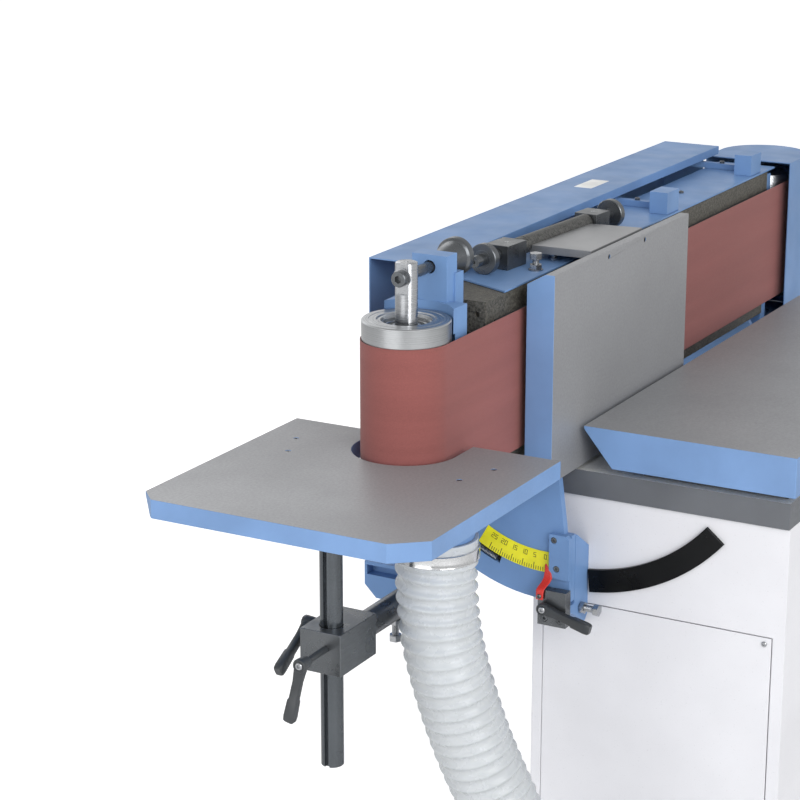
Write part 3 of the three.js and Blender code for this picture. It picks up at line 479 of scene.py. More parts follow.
def turn(bm, profile, place=None, segments=72):
    """Adds a turned solid from [radius, height] pairs in millimetres; a ring if none is on the axis."""
    place = place or Matrix.Identity(4)
    rows = []
    for radius, height in profile:
        if radius < 1e-6:
            rows.append([bm.verts.new(place @ Vector((0, 0, height * MM)))])
            continue
        circle = [(radius * math.cos(a), radius * math.sin(a), height) for a in angles(segments)]
        rows.append([bm.verts.new(place @ (Vector(point) * MM)) for point in circle])
    closed = all(len(row) > 1 for row in rows)
    pairs = list(zip(rows, rows[1:])) + ([(rows[-1], rows[0])] if closed else [])
    for low, high in pairs:
        for i in range(segments):
            j = (i + 1) % segments
            corners = [low[i % len(low)], low[j % len(low)], high[j % len(high)], high[i % len(high)]]
            unique = list(dict.fromkeys(corners))
            if len(unique) > 2:
                bm.faces.new(unique)
    return bm


def loft(bm, rings, place):
    """Adds a closed skin through rings of [x, y, z] points in millimetres."""
    return stitch(bm, [[bm.verts.new(place @ (Vector(point) * MM)) for point in ring] for ring in rings])


def prism(bm, outline, low, high, place=None):
    """Adds a straight prism of an outline in millimetres, from low to high along its local Z."""
    return loft(bm, [[(x, y, z) for x, y in outline] for z in (low, high)], place or Matrix.Identity(4))


def box_into(bm, low, high, place=None):
    (x0, y0, z0), (x1, y1, z1) = low, high
    return prism(bm, [(x0, y0), (x1, y0), (x1, y1), (x0, y1)], z0, z1, place)


def arc(x, y, radius, start, end, steps=16):
    """Points of an arc, angles in degrees."""
    turns = [math.radians(start + (end - start) * i / steps) for i in range(steps + 1)]
    return [(x + radius * math.cos(a), y + radius * math.sin(a)) for a in turns]


def rod(radius, low, high, place, steps=63):
    """A round cutter."""
    return prism(bmesh.new(), arc(0, 0, radius, 0, 360, steps)[:-1], low, high, place)


def hexagon(across_flats):
    return arc(0, 0, across_flats / math.sqrt(3), 30, 330, 5)


def blob(half_width, half_height, corner=0.35, points=20):
    """A rounded rectangle as [y, z] pairs."""
    def rounded(value, half):
        return half * math.copysign(abs(value) ** corner, value)
    return [(rounded(math.cos(a), half_width), rounded(math.sin(a), half_height)) for a in angles(points)]


def cut_with(piece, cutter_bm):
    """Subtracts a closed cutter from the piece and applies the result."""
    bmesh.ops.recalc_face_normals(cutter_bm, faces=cutter_bm.faces)
    cutter = link_new("cutter", bpy.data.meshes.new("cutter"))
    cutter_bm.to_mesh(cutter.data)
    cutter_bm.free()
    modifier = piece.modifiers.new("cut", "BOOLEAN")
    modifier.operation = "DIFFERENCE"
    modifier.solver = "EXACT"
    modifier.object = cutter
    bpy.context.view_layer.update()
    evaluated = piece.evaluated_get(bpy.context.evaluated_depsgraph_get())
    result = bpy.data.meshes.new_from_object(evaluated)
    piece.modifiers.remove(modifier)
    old = piece.data
    piece.data = result
    bpy.data.meshes.remove(old)
    bpy.data.objects.remove(cutter)
    bm = bmesh.new()
    bm.from_mesh(result)
    bmesh.ops.remove_doubles(bm, verts=bm.verts, dist=1e-6)
    mark_smooth(bm)
    bm.to_mesh(result)
    bm.free()
    return piece


def place_at(position, axis=(0, 0, 1)):
    return Matrix.Translation(position) @ frame_of(axis)


def socket_screw(name, position, axis, body, radius=6.5, height=6, material=None, slot="black_steel"):
    """A cap screw with a hexagon socket, its head standing on position and facing along axis."""
    bm = bmesh.new()
    place = place_at(position, axis)
    turn(bm, [(0, 0), (radius, 0), (radius, height - 0.8), (radius - 0.8, height), (0, height)], place, 40)
    piece = finish_mesh(name, bm, body, slot, material=material)
    cutter = bmesh.new()
    prism(cutter, hexagon(radius * 0.95), height * 0.4, height + 2, place)
    return cut_with(piece, cutter)


def screws(name, places, axis, body, radius, height, **finish):
    """A numbered cap screw at each place."""
    for i, place in enumerate(places):
        socket_screw(f"{name}_{i}", at(*place), axis, body, radius, height, **finish)


def hex_bolt(name, position, axis, body, across, head, shank, nut=None, slot="bright_steel"):
    """A hexagon bolt whose shank starts at position and whose head is at the far end along axis."""
    bm = bmesh.new()
    place = place_at(position, axis)
    radius, length = shank
    pitch, depth, collar = 1.25, 0.5, length + 0.6
    thread = [(0, 0)]
    for i in range(int(length / pitch)):
        thread += [(radius - depth, i * pitch + 0.1), (radius, i * pitch + pitch / 2)]
    thread += [(radius, length), (0, length)]
    turn(bm, thread, place, 32)
    turn(bm, [(0, length - 0.2), (across / 2, length - 0.2), (across / 2, collar), (0, collar)], place, 32)
    prism(bm, hexagon(across), collar, length + head, place)
    if nut is not None:
        prism(bm, hexagon(across), nut, nut + across * 0.42, place)
    piece = finish_mesh(name, bm, body, slot)
    return bevel(piece, 0.5)


# ---- CAD nodes that keep their shape
def dress_cad_nodes():
    """Gives every CAD node its slot's material, and soft edges to the flat-sided ones."""
    edge_width = {
        "main_table": 1.5, "cabinet": 2.0, "rear_hood": 0.8, "drive_guard": 0.8, "tilt_scale": 0.1,
        "cabinet_end_panel": 0.6, "fence": 0.8, "top_plate": 0.6, "base_plinth": 2.5,
    }
    for name, node in NODES.items():
        slot = SLOT_OF[name]
        node.data.materials.clear()
        node.data.materials.append(OVERRIDES.get(name, MATERIALS[slot]))
        with bpy.context.temp_override(object=node, active_object=node, selected_objects=[node]):
            if node.data.has_custom_normals:
                bpy.ops.mesh.customdata_custom_splitnormals_clear()
        for polygon in node.data.polygons:
            polygon.use_smooth = True
        weld = node.modifiers.new("weld", "WELD")
        weld.merge_threshold = 1e-5
        bevel(node, edge_width.get(name, 0.7))


dress_cad_nodes()


def turned_piece(name, profile, position, axis, body, slot, replaces=(), segments=72):
    bm = turn(bmesh.new(), profile, None, segments)
    return finish_mesh(name, bm, body, slot, replaces, place=place_at(position, axis))


def basis_at(position, x_axis, z_axis):
    """A placement whose local X and Z run along the given directions."""
    z = Vector(z_axis).normalized()
    x = Vector(x_axis)
    x = (x - z * x.dot(z)).normalized()
    rotation = Matrix((x, z.cross(x), z)).transposed().to_4x4()
    return Matrix.Translation(position) @ rotation


# ---- idler end
def idler_end():
    """The idler roller with its bearings, on its shaft, and the tracking screw, rod and knob."""
    seat, top = BEARING_SEAT, 178.7
    roller = [
        (seat, -60), (56, -60), (ROLLER_RADIUS, -57), (ROLLER_RADIUS, top - 1.3), (58.2, top),
        (50.5, top), (50, 178.2), (49.2, 178.2), (48.7, top), (40.2, top), (39.6, 176.8), (37.6, 176.8),
        (37.2, 177.6), (34.4, 177.6), (33.6, 173), (seat, 173), (seat, 150), (40, 148), (40, -30),
        (seat, -34),
    ]
    turned_piece("roller_drum", roller, IDLER, UP, "idler_roller", "aluminium", ["idler_roller"], 144)
    for name, z in (("upper_bearing", 154), ("lower_bearing", -56)):
        races = bmesh.new()
        for inside, outside in ((26.8, 31), (15.3, 19.4)):
            turn(races, [(inside, z), (outside, z), (outside, z + 15.4), (outside - 0.6, z + 16),
                         (inside + 0.6, z + 16), (inside, z + 15.4)])
        finish_mesh(name + "_races", races, "idler_roller", "bright_steel", [name],
                    place=Matrix.Translation(IDLER))
        seal = [(19.5, z + 2), (26.7, z + 2), (26.7, z + 14.6), (24, z + 15.2), (19.5, z + 14.6)]
        turned_piece(name + "_seal", seal, IDLER, UP, "idler_roller", "black_plastic")
    turned_piece("bearing_circlip", [(31.4, 170.6), (34, 170.6), (34, 172.4), (31.4, 172.4)],
                 IDLER, UP, "idler_roller", "black_steel")

    outline = [(0, -100), (SHAFT_RADIUS - 1, -100), (SHAFT_RADIUS, -99), (SHAFT_RADIUS, 252.8),
               (14.4, 254.2), (13, 255), (3, 255), (2, 253), (0, 253)]
    shaft = turned_piece("shaft", outline, IDLER, UP, "idler_shaft", "bright_steel", ["idler_shaft"])
    flat_x = -11.6
    cut_with(shaft, box_into(bmesh.new(), (-20, -20, 213), (flat_x, 20, 262), Matrix.Translation(IDLER)))
    rod_z = (centre("tracking_rod").z - IDLER.z) / MM
    turned_piece("adjusting_rod", [(0, 0), (7.5, 0), (7.5, 143), (6.5, 144), (6.5, 147), (0, 147)],
                 at(SHAFT_RADIUS + 0.3, 0, rod_z), (1, 0, 0), "idler_shaft", "black_steel",
                 ["tracking_rod"], 40)
    turned_piece("screw_washer", [(0, 0), (13, 0), (13, 1.6), (0, 1.6)], at(flat_x - 0.2, 0, rod_z),
                 (-1, 0, 0), "idler_shaft", "bright_steel", (), 48)
    head = socket_screw("adjusting_screw_head", at(flat_x - 1.8, 0, rod_z), (-1, 0, 0), "idler_shaft",
                        10.5, 9.5)
    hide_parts("tracking_screw")
    knob = [(8.6, 0), (14, 0), (15, 1), (17.5, 12), (20.5, 28), (22.5, 35), (25.4, 37), (26, 38.2),
            (26, 48.6), (24.8, 50), (14, 50), (13, 52.5), (8.6, 52.5)]
    knob_place = Vector((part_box("tracking_knob")[0].x, IDLER.y, at(0, 0, rod_z).z))
    turned_piece("hand_knob", knob, knob_place, (1, 0, 0), "tracking_knob", "black_steel",
                 ["tracking_knob"], 96)


def belt():
    """One smooth closed strip of cloth, a little clear of the rollers."""
    half_turn, run = 40, 24
    stations = [(0, 90 + 180 * i / half_turn) for i in range(half_turn + 1)]
    stations += [(DRIVE_X * i / run, -90) for i in range(1, run)]
    stations += [(DRIVE_X, -90 + 180 * i / half_turn) for i in range(half_turn + 1)]
    stations += [(DRIVE_X * (1 - i / run), 90) for i in range(1, run)]
    section = ((BELT_INSIDE, BELT_LOW), (BELT_INSIDE, BELT_HIGH), (BELT_OUTSIDE, BELT_HIGH),
               (BELT_OUTSIDE, BELT_LOW))
    bm = bmesh.new()
    rows = []
    for x, heading in stations:
        c, s = math.cos(math.radians(heading)), math.sin(math.radians(heading))
        rows.append([bm.verts.new(at(x + radius * c, radius * s, z)) for radius, z in section])
    cloth = soft_piece("belt_cloth", stitch(bm, rows, closed=True), "abrasive", 40)
    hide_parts("abrasive_belt")
    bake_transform(cloth)


def spring():
    """A round-wire coil between the carriage's tongue and its seat in the beam."""
    first, last, turns, radius, wire, height = 242.0, 296.0, 6.5, 15.0, 2.0, 50.0
    steps, flat_share = 240, 0.08
    along = Vector((1, 0, 0))
    bm = bmesh.new()
    rows = []
    for i in range(steps + 1):
        angle = 2 * math.pi * turns * i / steps
        rise = min(max((i / steps - flat_share) / (1 - 2 * flat_share), 0), 1)
        outwards = Vector((0, math.cos(angle), math.sin(angle)))
        middle = at(first + wire + (last - first - 2 * wire) * rise, 0, height) + outwards * radius * MM
        rows.append([bm.verts.new(middle + (along * math.cos(a) + outwards * math.sin(a)) * wire * MM)
                     for a in angles(12)])
    coil = soft_piece("carriage_spring", stitch(bm, rows), "bright_steel", 60)
    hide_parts("tension_spring")
    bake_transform(coil)


# ---- clamping levers
def clamp_lever(name, node, body, position, outwards, handle, spindle, hub, length):
    """A moulded clamping lever: stem, round hub with a screw, and a handle with a thicker grip."""
    place = basis_at(position, handle, outwards)
    top = spindle + hub
    bm = bmesh.new()
    turn(bm, [(0, 0), (4.5, 0), (4.5, spindle), (7.4, spindle), (8.4, spindle + 3), (9.4, top - 5),
              (9.4, top - 1.6), (8.4, top), (6.2, top), (5.8, top - 1.5), (0, top - 1.5)], place, 40)
    middle = top - 6.4
    grip = length * 0.62
    stations = [
        (3, 8.2, 5.6, 0), (12, 7.2, 5.2, 0), (24, 6.2, 4.8, 0), (grip - 2, 6.4, 4.8, 0.5),
        (grip + 1, 7.6, 5.8, 0.9), (length - 8, 8.2, 6.2, 1.2), (length - 2, 7.6, 5.8, 1.2),
        (length, 6.2, 4.6, 1.2),
    ]
    loft(bm, [[(x, y, middle + lift + z) for y, z in blob(wide, high)]
              for x, wide, high, lift in stations], place)
    finish_mesh(name, bm, body, "black_plastic", [node], 50)
    screw_place = place @ Vector((0, 0, (top - 2.2) * MM))
    socket_screw(name + "_screw", screw_place, outwards, body, 5, 3.4, slot="bright_steel")


def clamp_levers():
    clamp_lever("post_lever_grip", "post_clamp_lever", "post_lever", at(-227.3, -8, -203),
                outwards=(-1, 0, 0), handle=(0, 0.22, -0.9755), spindle=46, hub=19, length=82)
    clamp_lever("bar_lever_grip", "bar_clamp_lever", "bar_lever", at(-165, 30.3, -200),
                outwards=(0, 1, 0), handle=(-0.864, 0, -0.504), spindle=12, hub=19, length=86)
    clamp_lever("tilt_lever_grip", "tilt_clamp_lever", "tilt_lever", at(225.7, -101.3, -283),
                outwards=(-1, 0, 0), handle=(0, -0.972, -0.235), spindle=0.6, hub=12, length=76)


# ---- post, bar and clamp block
def post_and_bar():
    """The table's keyed post and the support bar, in the block that clamps both."""
    post_axis = at(POST_X, 0, 0)
    outline = [(0, -375), (POST_RADIUS - 1, -375), (POST_RADIUS, -374), (POST_RADIUS, -35.3), (32, -35.3),
               (32, -25.3), (0, -25.3)]
    bm = turn(bmesh.new(), outline, place_at(post_axis))
    post = finish_mesh("post", bm, "small_table", "black_steel", ["table_post"], material=POLISHED_BLACK)
    key_slot = box_into(bmesh.new(), (-20, -3.5, -380), (-10, 3.5, -45), Matrix.Translation(post_axis))
    cut_with(post, key_slot)
    outline = [(0, -176.5), (BAR_RADIUS - 1, -176.5), (BAR_RADIUS, -175.5), (BAR_RADIUS, 61),
               (BAR_RADIUS - 1, 62), (0, 62)]
    turned_piece("bar", outline, at(0, 0, BAR_Z), (1, 0, 0), "unit", "black_steel", ["support_bar"], 64)
    bm = box_into(bmesh.new(), (-227, -30, -238), (-135, 30, -181), Matrix.Translation(IDLER))
    block = finish_mesh("clamp_body", bm, "clamp_block", "black_steel", ["clamp_block"])
    cut_with(block, rod(POST_RADIUS + 0.3, -260, -160, Matrix.Translation(post_axis)))
    cut_with(block, rod(BAR_RADIUS + 0.3, 0, 50, place_at(at(-180, 0, BAR_Z), (1, 0, 0))))
    bevel(block, 1.0, 3)
    lock = hex_bolt("bar_lock", at(-30, 0, BAR_Z - BAR_RADIUS - 0.3), (0, 0, -1), "unit", 16, 9,
                    (5, 23), 1)
    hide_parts("bar_lock_bolt")


# ---- small table
def small_table():
    """A notched casting with an undercut back edge and four filled screw holes."""
    notch = TABLE_NOTCH
    x0, x1, y0, y1 = -338, 52, -202, 202
    outline = [(x1, y0), (x1, -notch), (0, -notch)]
    outline += arc(0, 0, notch, 270, 90, 64)[1:-1]
    outline += [(0, notch), (x1, notch), (x1, y1), (x0 + 25, y1), (x0, y1 - 25), (x0, y0 + 42),
                (x0 + 35, y0)]
    bm = prism(bmesh.new(), outline, -25, 0, Matrix.Translation(IDLER))
    table = finish_mesh("small_table_top", bm, "small_table", "table_casting", ["small_table"])
    cut_with(table, prism(bmesh.new(), [(y1 - 20, -26), (y1 + 1, -26), (y1 + 1, -4)], x0 - 2, x1 + 2,
                          basis_at(IDLER, (0, 1, 0), (1, 0, 0))))
    places = [(-30, 153), (-83, 133), (-23, -142), (-83, -123)]
    for x, y in places:
        cut_with(table, rod(3.6, -8, 2, Matrix.Translation(at(x, y, 0)), 24))
    bevel(table, 1.6, 3)
    screw = [(0, -7.5), (3.5, -7.5), (3.5, -0.5), (1.8, -0.5), (1.6, -3.6), (0, -3.6)]
    for i, (x, y) in enumerate(places):
        turned_piece(f"table_screw_{i}", screw, at(x, y, 0), UP, "small_table", "black_steel", (), 24)


# ---- fence hinge
HINGE_DIRECTION = Vector((356, -26.1, 0)).normalized()


def fence_hinge():
    """The fence's hinge bar, with the sleeve and arm welded together on it, and the stop screw."""
    start = at(257.4, 18.6, 205)
    place = place_at(start, HINGE_DIRECTION)
    outline = [
        (0, -23), (2.6, -23), (2.6, -26), (8, -26), (8.6, -25), (8.6, -4.5), (13, -4.5), (13, -4),
        (21, -4), (22, -3), (22, 7), (21, 8), (8, 8), (8, 366), (21, 366), (22, 367), (22, 377),
        (21, 378), (13, 378), (11, 384), (11, 392), (0, 392),
    ]
    finish_mesh("hinge_bar", turn(bmesh.new(), outline, place), "unit", "black_steel", ["hinge_pin"])
    outline = [(8.3, 90), (12.4, 90), (13, 90.6), (13, 104), (12.2, 104.6), (12.2, 106), (13, 106.6),
               (13, 292.4), (12.4, 293), (8.3, 293)]
    sleeve = turn(bmesh.new(), outline, place, 64)
    finish_mesh("hinge_sleeve", sleeve, "fence", "ground_steel", material=MILL_SCALE)
    outline = [(371, -94), (369, 3), (541, -9), (552, -94)]
    plate = prism(bmesh.new(), outline, 194, 206, Matrix.Translation(IDLER))
    arm = finish_mesh("fence_arm_plate", plate, "fence", "ground_steel", ["fence_arm"])
    bevel(arm, 0.8)
    weld_beads(start)
    for name, along in (("left", 62), ("right", 315)):
        spot = start + HINGE_DIRECTION * along * MM
        spot.z = at(0, 0, 217.6).z
        turned_piece(f"set_screw_{name}", [(0, 0.2), (3, 0.2), (3, 0.6), (1.6, 0.6), (1.4, 0.3), (0, 0.3)],
                     spot, UP, "unit", "bright_steel", (), 24)
    stop = hex_bolt("fence_stop", at(384, -30, PLATE_TOP + 0.3), UP, "fence_stop_screw", 9, 4.3,
                    (3, 5.8), 0)
    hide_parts("fence_stop_screw")
    bolt_foot = at(316, -34, PLATE_TOP)
    hex_bolt("plate_bolt", bolt_foot, UP, "unit", 16, 9, (5, 16), 2)
    turned_piece("plate_bolt_washer", [(0, 0), (10.5, 0), (10.5, 1.8), (0, 1.8)], bolt_foot, UP, "unit",
                 "bright_steel", (), 32)


def weld_beads(start):
    """Three short runs of weld between the sleeve and the arm."""
    beads = bmesh.new()
    random.seed(7)
    for run in range(3):
        for i in range(9):
            along = 122 + run * 56 + i * 3.6 + random.uniform(-0.5, 0.5)
            spot = start + HINGE_DIRECTION * along * MM + Vector((0, -11.5, -6.5)) * MM
            bmesh.ops.create_icosphere(beads, subdivisions=2, radius=random.uniform(3.4, 4.4) * MM,
                                       matrix=Matrix.Translation(spot))
    attach(to_object("weld_beads", beads, MILL_SCALE, 80), "fence")


# ---- hose
HOSE_PATH = [(-62, -80, -88), (-62, -80, -160), (-55, -88, -250), (-22, -110, -380), (18, -140, -500),
             (60, -178, -640), (120, -215, -745), (195, -237, -800), (255, -240, -805), (300, -240, -805)]


def smooth_path(points, steps):
    """Evenly spaced places on a smooth curve through the points."""
    curve = [Vector(p) for p in points]
    ends = [curve[0] * 2 - curve[1]] + curve + [curve[-1] * 2 - curve[-2]]
    dense = []
    for p0, p1, p2, p3 in zip(ends, ends[1:], ends[2:], ends[3:]):
        for i in range(60):
            t = i / 60
            dense.append(0.5 * ((2 * p1) + (p2 - p0) * t + (2 * p0 - 5 * p1 + 4 * p2 - p3) * t * t
                                + (3 * p1 - p0 - 3 * p2 + p3) * t ** 3))
    dense.append(curve[-1])
    lengths = [0.0]
    for a, b in zip(dense, dense[1:]):
        lengths.append(lengths[-1] + (b - a).length)
    places, k = [], 0
    for i in range(steps + 1):
        goal = lengths[-1] * i / steps
        while k < len(dense) - 2 and lengths[k + 1] < goal:
            k += 1
        share = (goal - lengths[k]) / max(lengths[k + 1] - lengths[k], 1e-9)
        places.append(dense[k].lerp(dense[k + 1], min(1, share)))
    return places, lengths[-1]


def hose():
    """A spiral hose: a round wire standing proud of a thin sheet, in one helical ridge."""
    outer, bore, pitch, ridge_height, inner_share = 54.6, 50.0, 19.0, 4.6, 0.7
    cuff, fade, least = 30, 8, 0.1
    _, length = smooth_path(HOSE_PATH, 10)
    steps = int(length / pitch * 12)
    places, length = smooth_path(HOSE_PATH, steps)
    bm = bmesh.new()
    side = Vector((1, 0, 0))
    outside, inside = [], []
    for i, spot in enumerate(places):
        direction = (places[min(i + 1, steps)] - places[max(i - 1, 0)]).normalized()
        side = (side - direction * side.dot(direction)).normalized()
        other = direction.cross(side)
        run = length * i / steps
        from_end = (min(run, length - run) - cuff) / fade
        height = ridge_height * min(1, max(least, from_end))
        outside.append([])
        inside.append([])
        for angle in angles(56):
            phase = 2 * math.pi * run / pitch + angle
            ridge = (0.5 + 0.5 * math.cos(phase)) ** 2
            web = 0.1 * (0.5 - 0.5 * math.cos(2 * phase)) * (1 - ridge)
            spoke = side * math.cos(angle) + other * math.sin(angle)
            for row, radius in ((outside[-1], outer - height * (1 - ridge - web)),
                                (inside[-1], bore - inner_share * height * (1 - ridge))):
                row.append(bm.verts.new(IDLER + (spot + spoke * radius) * MM))
    stitch(bm, outside + inside[::-1], closed=True)
    piece = soft_piece("spiral_hose", bm, "hose_plastic", 75)
    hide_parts("hose")
    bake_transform(piece)


def hose_clamp():
    """A worm-drive band: slotted round most of its way, with the screw in its housing."""
    place = place_at(at(PORT_X, PORT_Y, 0))
    band = [(54.8, -116), (56, -116.4), (56.7, -115.6), (56.3, -114.6), (56.3, -101.4), (56.7, -100.4),
            (56, -99.6), (54.8, -100)]
    bm = turn(bmesh.new(), band, place, 96)
    for angle in range(150, 312, 6):
        spot = place @ Matrix.Rotation(math.radians(angle), 4, "Z")
        box_into(bm, (55.8, -0.8, -113), (56.9, 0.8, -103), spot)
    finish_mesh("clamp_band", bm, "unit", "bright_steel", ["hose_clamp"], material=POLISHED_BAND)
    stations = ((55.5, 7, 7.5), (60, 7, 7), (64, 5.6, 5.4))
    rings = [[(x, y, -108 + z) for y, z in blob(wide, high, 0.5)] for x, wide, high in stations]
    aside = place @ Matrix.Rotation(math.radians(-25), 4, "Z")
    finish_mesh("clamp_worm_housing", loft(bmesh.new(), rings, aside), "unit", "bright_steel")
    screw = aside @ (Vector((60.5, 6, -108)) * MM)
    hex_bolt("clamp_worm_screw", screw, aside.to_3x3() @ Vector((0, 1, 0)), "unit", 7, 4, (3, 7))


# ---- tilt scale, pointer, slot and screws
SEGMENTS = {"0": "abcdef", "1": "bc", "2": "abged", "5": "afgcd"}
STROKES = {
    "a": ((0, 2), (1, 2)), "b": ((1, 2), (1, 1)), "c": ((1, 1), (1, 0)), "d": ((0, 0), (1, 0)),
    "e": ((0, 1), (0, 0)), "f": ((0, 2), (0, 1)), "g": ((0, 1), (1, 1)),
}


def on_scale(angle, radius, x):
    """A place on the scale's face, angle in degrees from straight down towards the back."""
    a = math.radians(angle)
    return Vector((x, TILT_AXIS.y + radius * MM * math.sin(a), TILT_AXIS.z - radius * MM * math.cos(a)))


def stroke(bm, start, end, width, face_x, depth=0.12):
    """A thin raised bar of ink between two places on the scale's face."""
    along = (end - start).normalized()
    side = Vector((1, 0, 0)).cross(along) * width / 2 * MM
    ends = along * width * 0.5 * MM
    corners = [start - ends - side, end + ends - side, end + ends + side, start - ends + side]
    near = [bm.verts.new(Vector((face_x - depth * MM, c.y, c.z))) for c in corners]
    far = [bm.verts.new(Vector((face_x, c.y, c.z))) for c in corners]
    bm.faces.new(near)
    bm.faces.new(list(reversed(far)))
    for i in range(4):
        j = (i + 1) % 4
        bm.faces.new([near[j], near[i], far[i], far[j]])


def sector(inner, outer, first, last, low_x, high_x, steps):
    """A flat arc plate round the tilt axis, between two angles of on_scale."""
    bm = bmesh.new()
    corners = ((inner, low_x), (outer, low_x), (outer, high_x), (inner, high_x))
    return stitch(bm, [[bm.verts.new(on_scale(first + (last - first) * i / steps, radius, x))
                        for radius, x in corners] for i in range(steps + 1)])


def number(bm, degree, face_x):
    """The degree's number in strokes of ink, upright below its mark."""
    width, height, gap = 3.4, 3.3, 2.2
    digits = str(degree)
    total = len(digits) * (width + gap) - gap
    middle = on_scale(degree, SCALE_OUTER - 19.5, face_x)
    a = math.radians(degree)
    right = Vector((0, -math.cos(a), -math.sin(a)))
    up = Vector((0, -math.sin(a), math.cos(a)))
    for n, digit in enumerate(digits):
        shift = n * (width + gap) - total / 2
        for segment in SEGMENTS[digit]:
            start, end = (middle + (right * (shift + u * width) + up * v * height) * MM
                          for u, v in STROKES[segment])
            stroke(bm, start, end, 0.75, face_x)


def tilt_scale():
    """Yellow foil with a mark at each degree and a number at every fifth."""
    low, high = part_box("tilt_scale")
    foil = sector(SCALE_INNER, SCALE_OUTER, -1.6, 30, low.x, high.x, 60)
    finish_mesh("scale_foil", foil, "unit", "yellow_scale", ["tilt_scale"])
    ink = bmesh.new()
    for degree in range(26):
        numbered = degree % 5 == 0
        reach, width = (11, 1.0) if numbered else (6.5, 0.8)
        start, end = (on_scale(degree, SCALE_OUTER - inset, low.x) for inset in (1.2, reach))
        stroke(ink, start, end, width, low.x)
        if numbered:
            number(ink, degree, low.x)
    finish_mesh("scale_marks", ink, "unit", "black_plastic", material=INK)


def pointer():
    """A bent red pointer: foot on the clamp block, a shoulder and a tapering tip before the scale."""
    stations = [
        (222.6, -271, -93.5, 5.4, 1.6), (222.6, -262, -93.5, 5.6, 1.7), (222.8, -257, -94, 6.0, 2.0),
        (226, -253.5, -95.2, 6.2, 2.4), (236, -249, -96.6, 6.4, 2.4), (241, -244, -97.4, 6.4, 2.0),
        (242.5, -237, -96.8, 5.4, 1.6), (243.5, -231, -94.6, 3.2, 1.2), (244.5, -225, -92.4, 0.7, 0.7),
    ]
    rings = [[(x + v, y + u, z) for u, v in blob(wide, thick, 0.5)] for x, z, y, wide, thick in stations]
    bm = loft(bmesh.new(), rings, Matrix.Translation(IDLER))
    finish_mesh("scale_pointer", bm, "base", "red_plastic", ["tilt_pointer"], 50)
    socket_screw("pointer_screw", at(221, -93.5, -266), (-1, 0, 0), "base", 3.4, 2.4)


def quadrant_slot():
    """The lock stud, and a gloss black sheet of painted shade behind it, both seen through the quadrant's
    arc slot.
    """
    # Painted shade: a gloss black sheet put where the inside of the slot lies in shade.
    plate = sector(214.9, 225.6, 19.3, 45, at(257, 0, 0).x, at(262, 0, 0).x, 40)
    finish_mesh("slot_shadow_sheet", plate, "unit", "black_steel", material=GLOSS_BLACK)
    x = at(253.6, 0, 0).x
    start, end = on_scale(20.5, 220.4, x), on_scale(33, 221.5, x)
    stud = [(0, 0)]
    length = (end - start).length / MM
    core, crest, pitch = 3.2, 4.3, 2.4
    for i in range(int(length / pitch)):
        foot = i * pitch
        stud += [(core, foot + 0.2), (crest, foot + 0.8), (crest, foot + 1.6), (core, foot + 2.2)]
    stud += [(0, length)]
    turned_piece("slot_stud", stud, start, end - start, "unit", "bright_steel", (), 32)


def tilt_fittings():
    """Cap screws of the clamp block and the bracket, and the tilt's stop bolt."""
    screws("block_screw", [(230.8, y, -299.5) for y in (-99.6, -123.6)], (-1, 0, 0), "base", 5.2, 5)
    places = [(245.9, -104.7, -186.7), (245.9, -109.5, -229.2)]
    screws("bracket_screw", places, (-1, 0, 0), "base", 4.7, 3)
    stop = hex_bolt("tilt_stop", at(284, -129.3, -297), (0, -1, 0), "base", 16, 8, (5, 22), 1)
    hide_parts("tilt_stop_bolt")


# ---- drive end, base fittings
def drive_end():
    """The drive roller, and the motor below it: fins, end plates, fan cowl and terminal box."""
    axis = at(DRIVE_X, 0, 0)
    roller = [
        (0, -125), (14, -125), (14, -60), (56, -60), (ROLLER_RADIUS, -57), (ROLLER_RADIUS, 157), (58, 160),
        (42, 160), (40, 156), (20, 156), (18, 160), (15, 161), (0, 161),
    ]
    turned_piece("drive_drum", roller, axis, UP, "drive_roller", "aluminium", ["drive_roller"], 120)
    cowl = [(0, -440), (70, -440), (76, -438), (92, -424), (94, -418), (94, -381), (0, -381)]
    turned_piece("motor_fan_cowl", cowl, axis, UP, "unit", "black_plastic", ["fan_cowl"], 96)
    root, tip, count = 83, 92, 40
    outline = []
    for start in angles(count):
        for part, radius in ((0.0, root), (0.12, tip), (0.38, tip), (0.5, root)):
            angle = start + 2 * math.pi * part / count
            outline.append((radius * math.cos(angle), radius * math.sin(angle)))
    fins = prism(bmesh.new(), outline, -376, -118, Matrix.Translation(axis))
    place = place_at(axis)
    turn(fins, [(0, -119), (tip - 2, -119), (tip, -117), (tip, -109), (tip - 2, -108.4), (0, -108.4)],
         place, 96)
    turn(fins, [(0, -380.2), (tip, -380.2), (tip, -375), (0, -375)], place, 96)
    finish_mesh("motor_fins", fins, "unit", "motor_paint", ["motor_body"])
    box = box_into(bmesh.new(), (-34, 88, -300), (34, 122, -200), Matrix.Translation(axis))
    bevel(finish_mesh("motor_terminal_box", box, "unit", "motor_paint"), 4, 4)
    places = [(DRIVE_X + x, 121.6, z) for z in (-292, -208) for x in (-27, 27)]
    screws("terminal_screw", places, (0, 1, 0), "unit", 3.2, 2.6, slot="bright_steel")


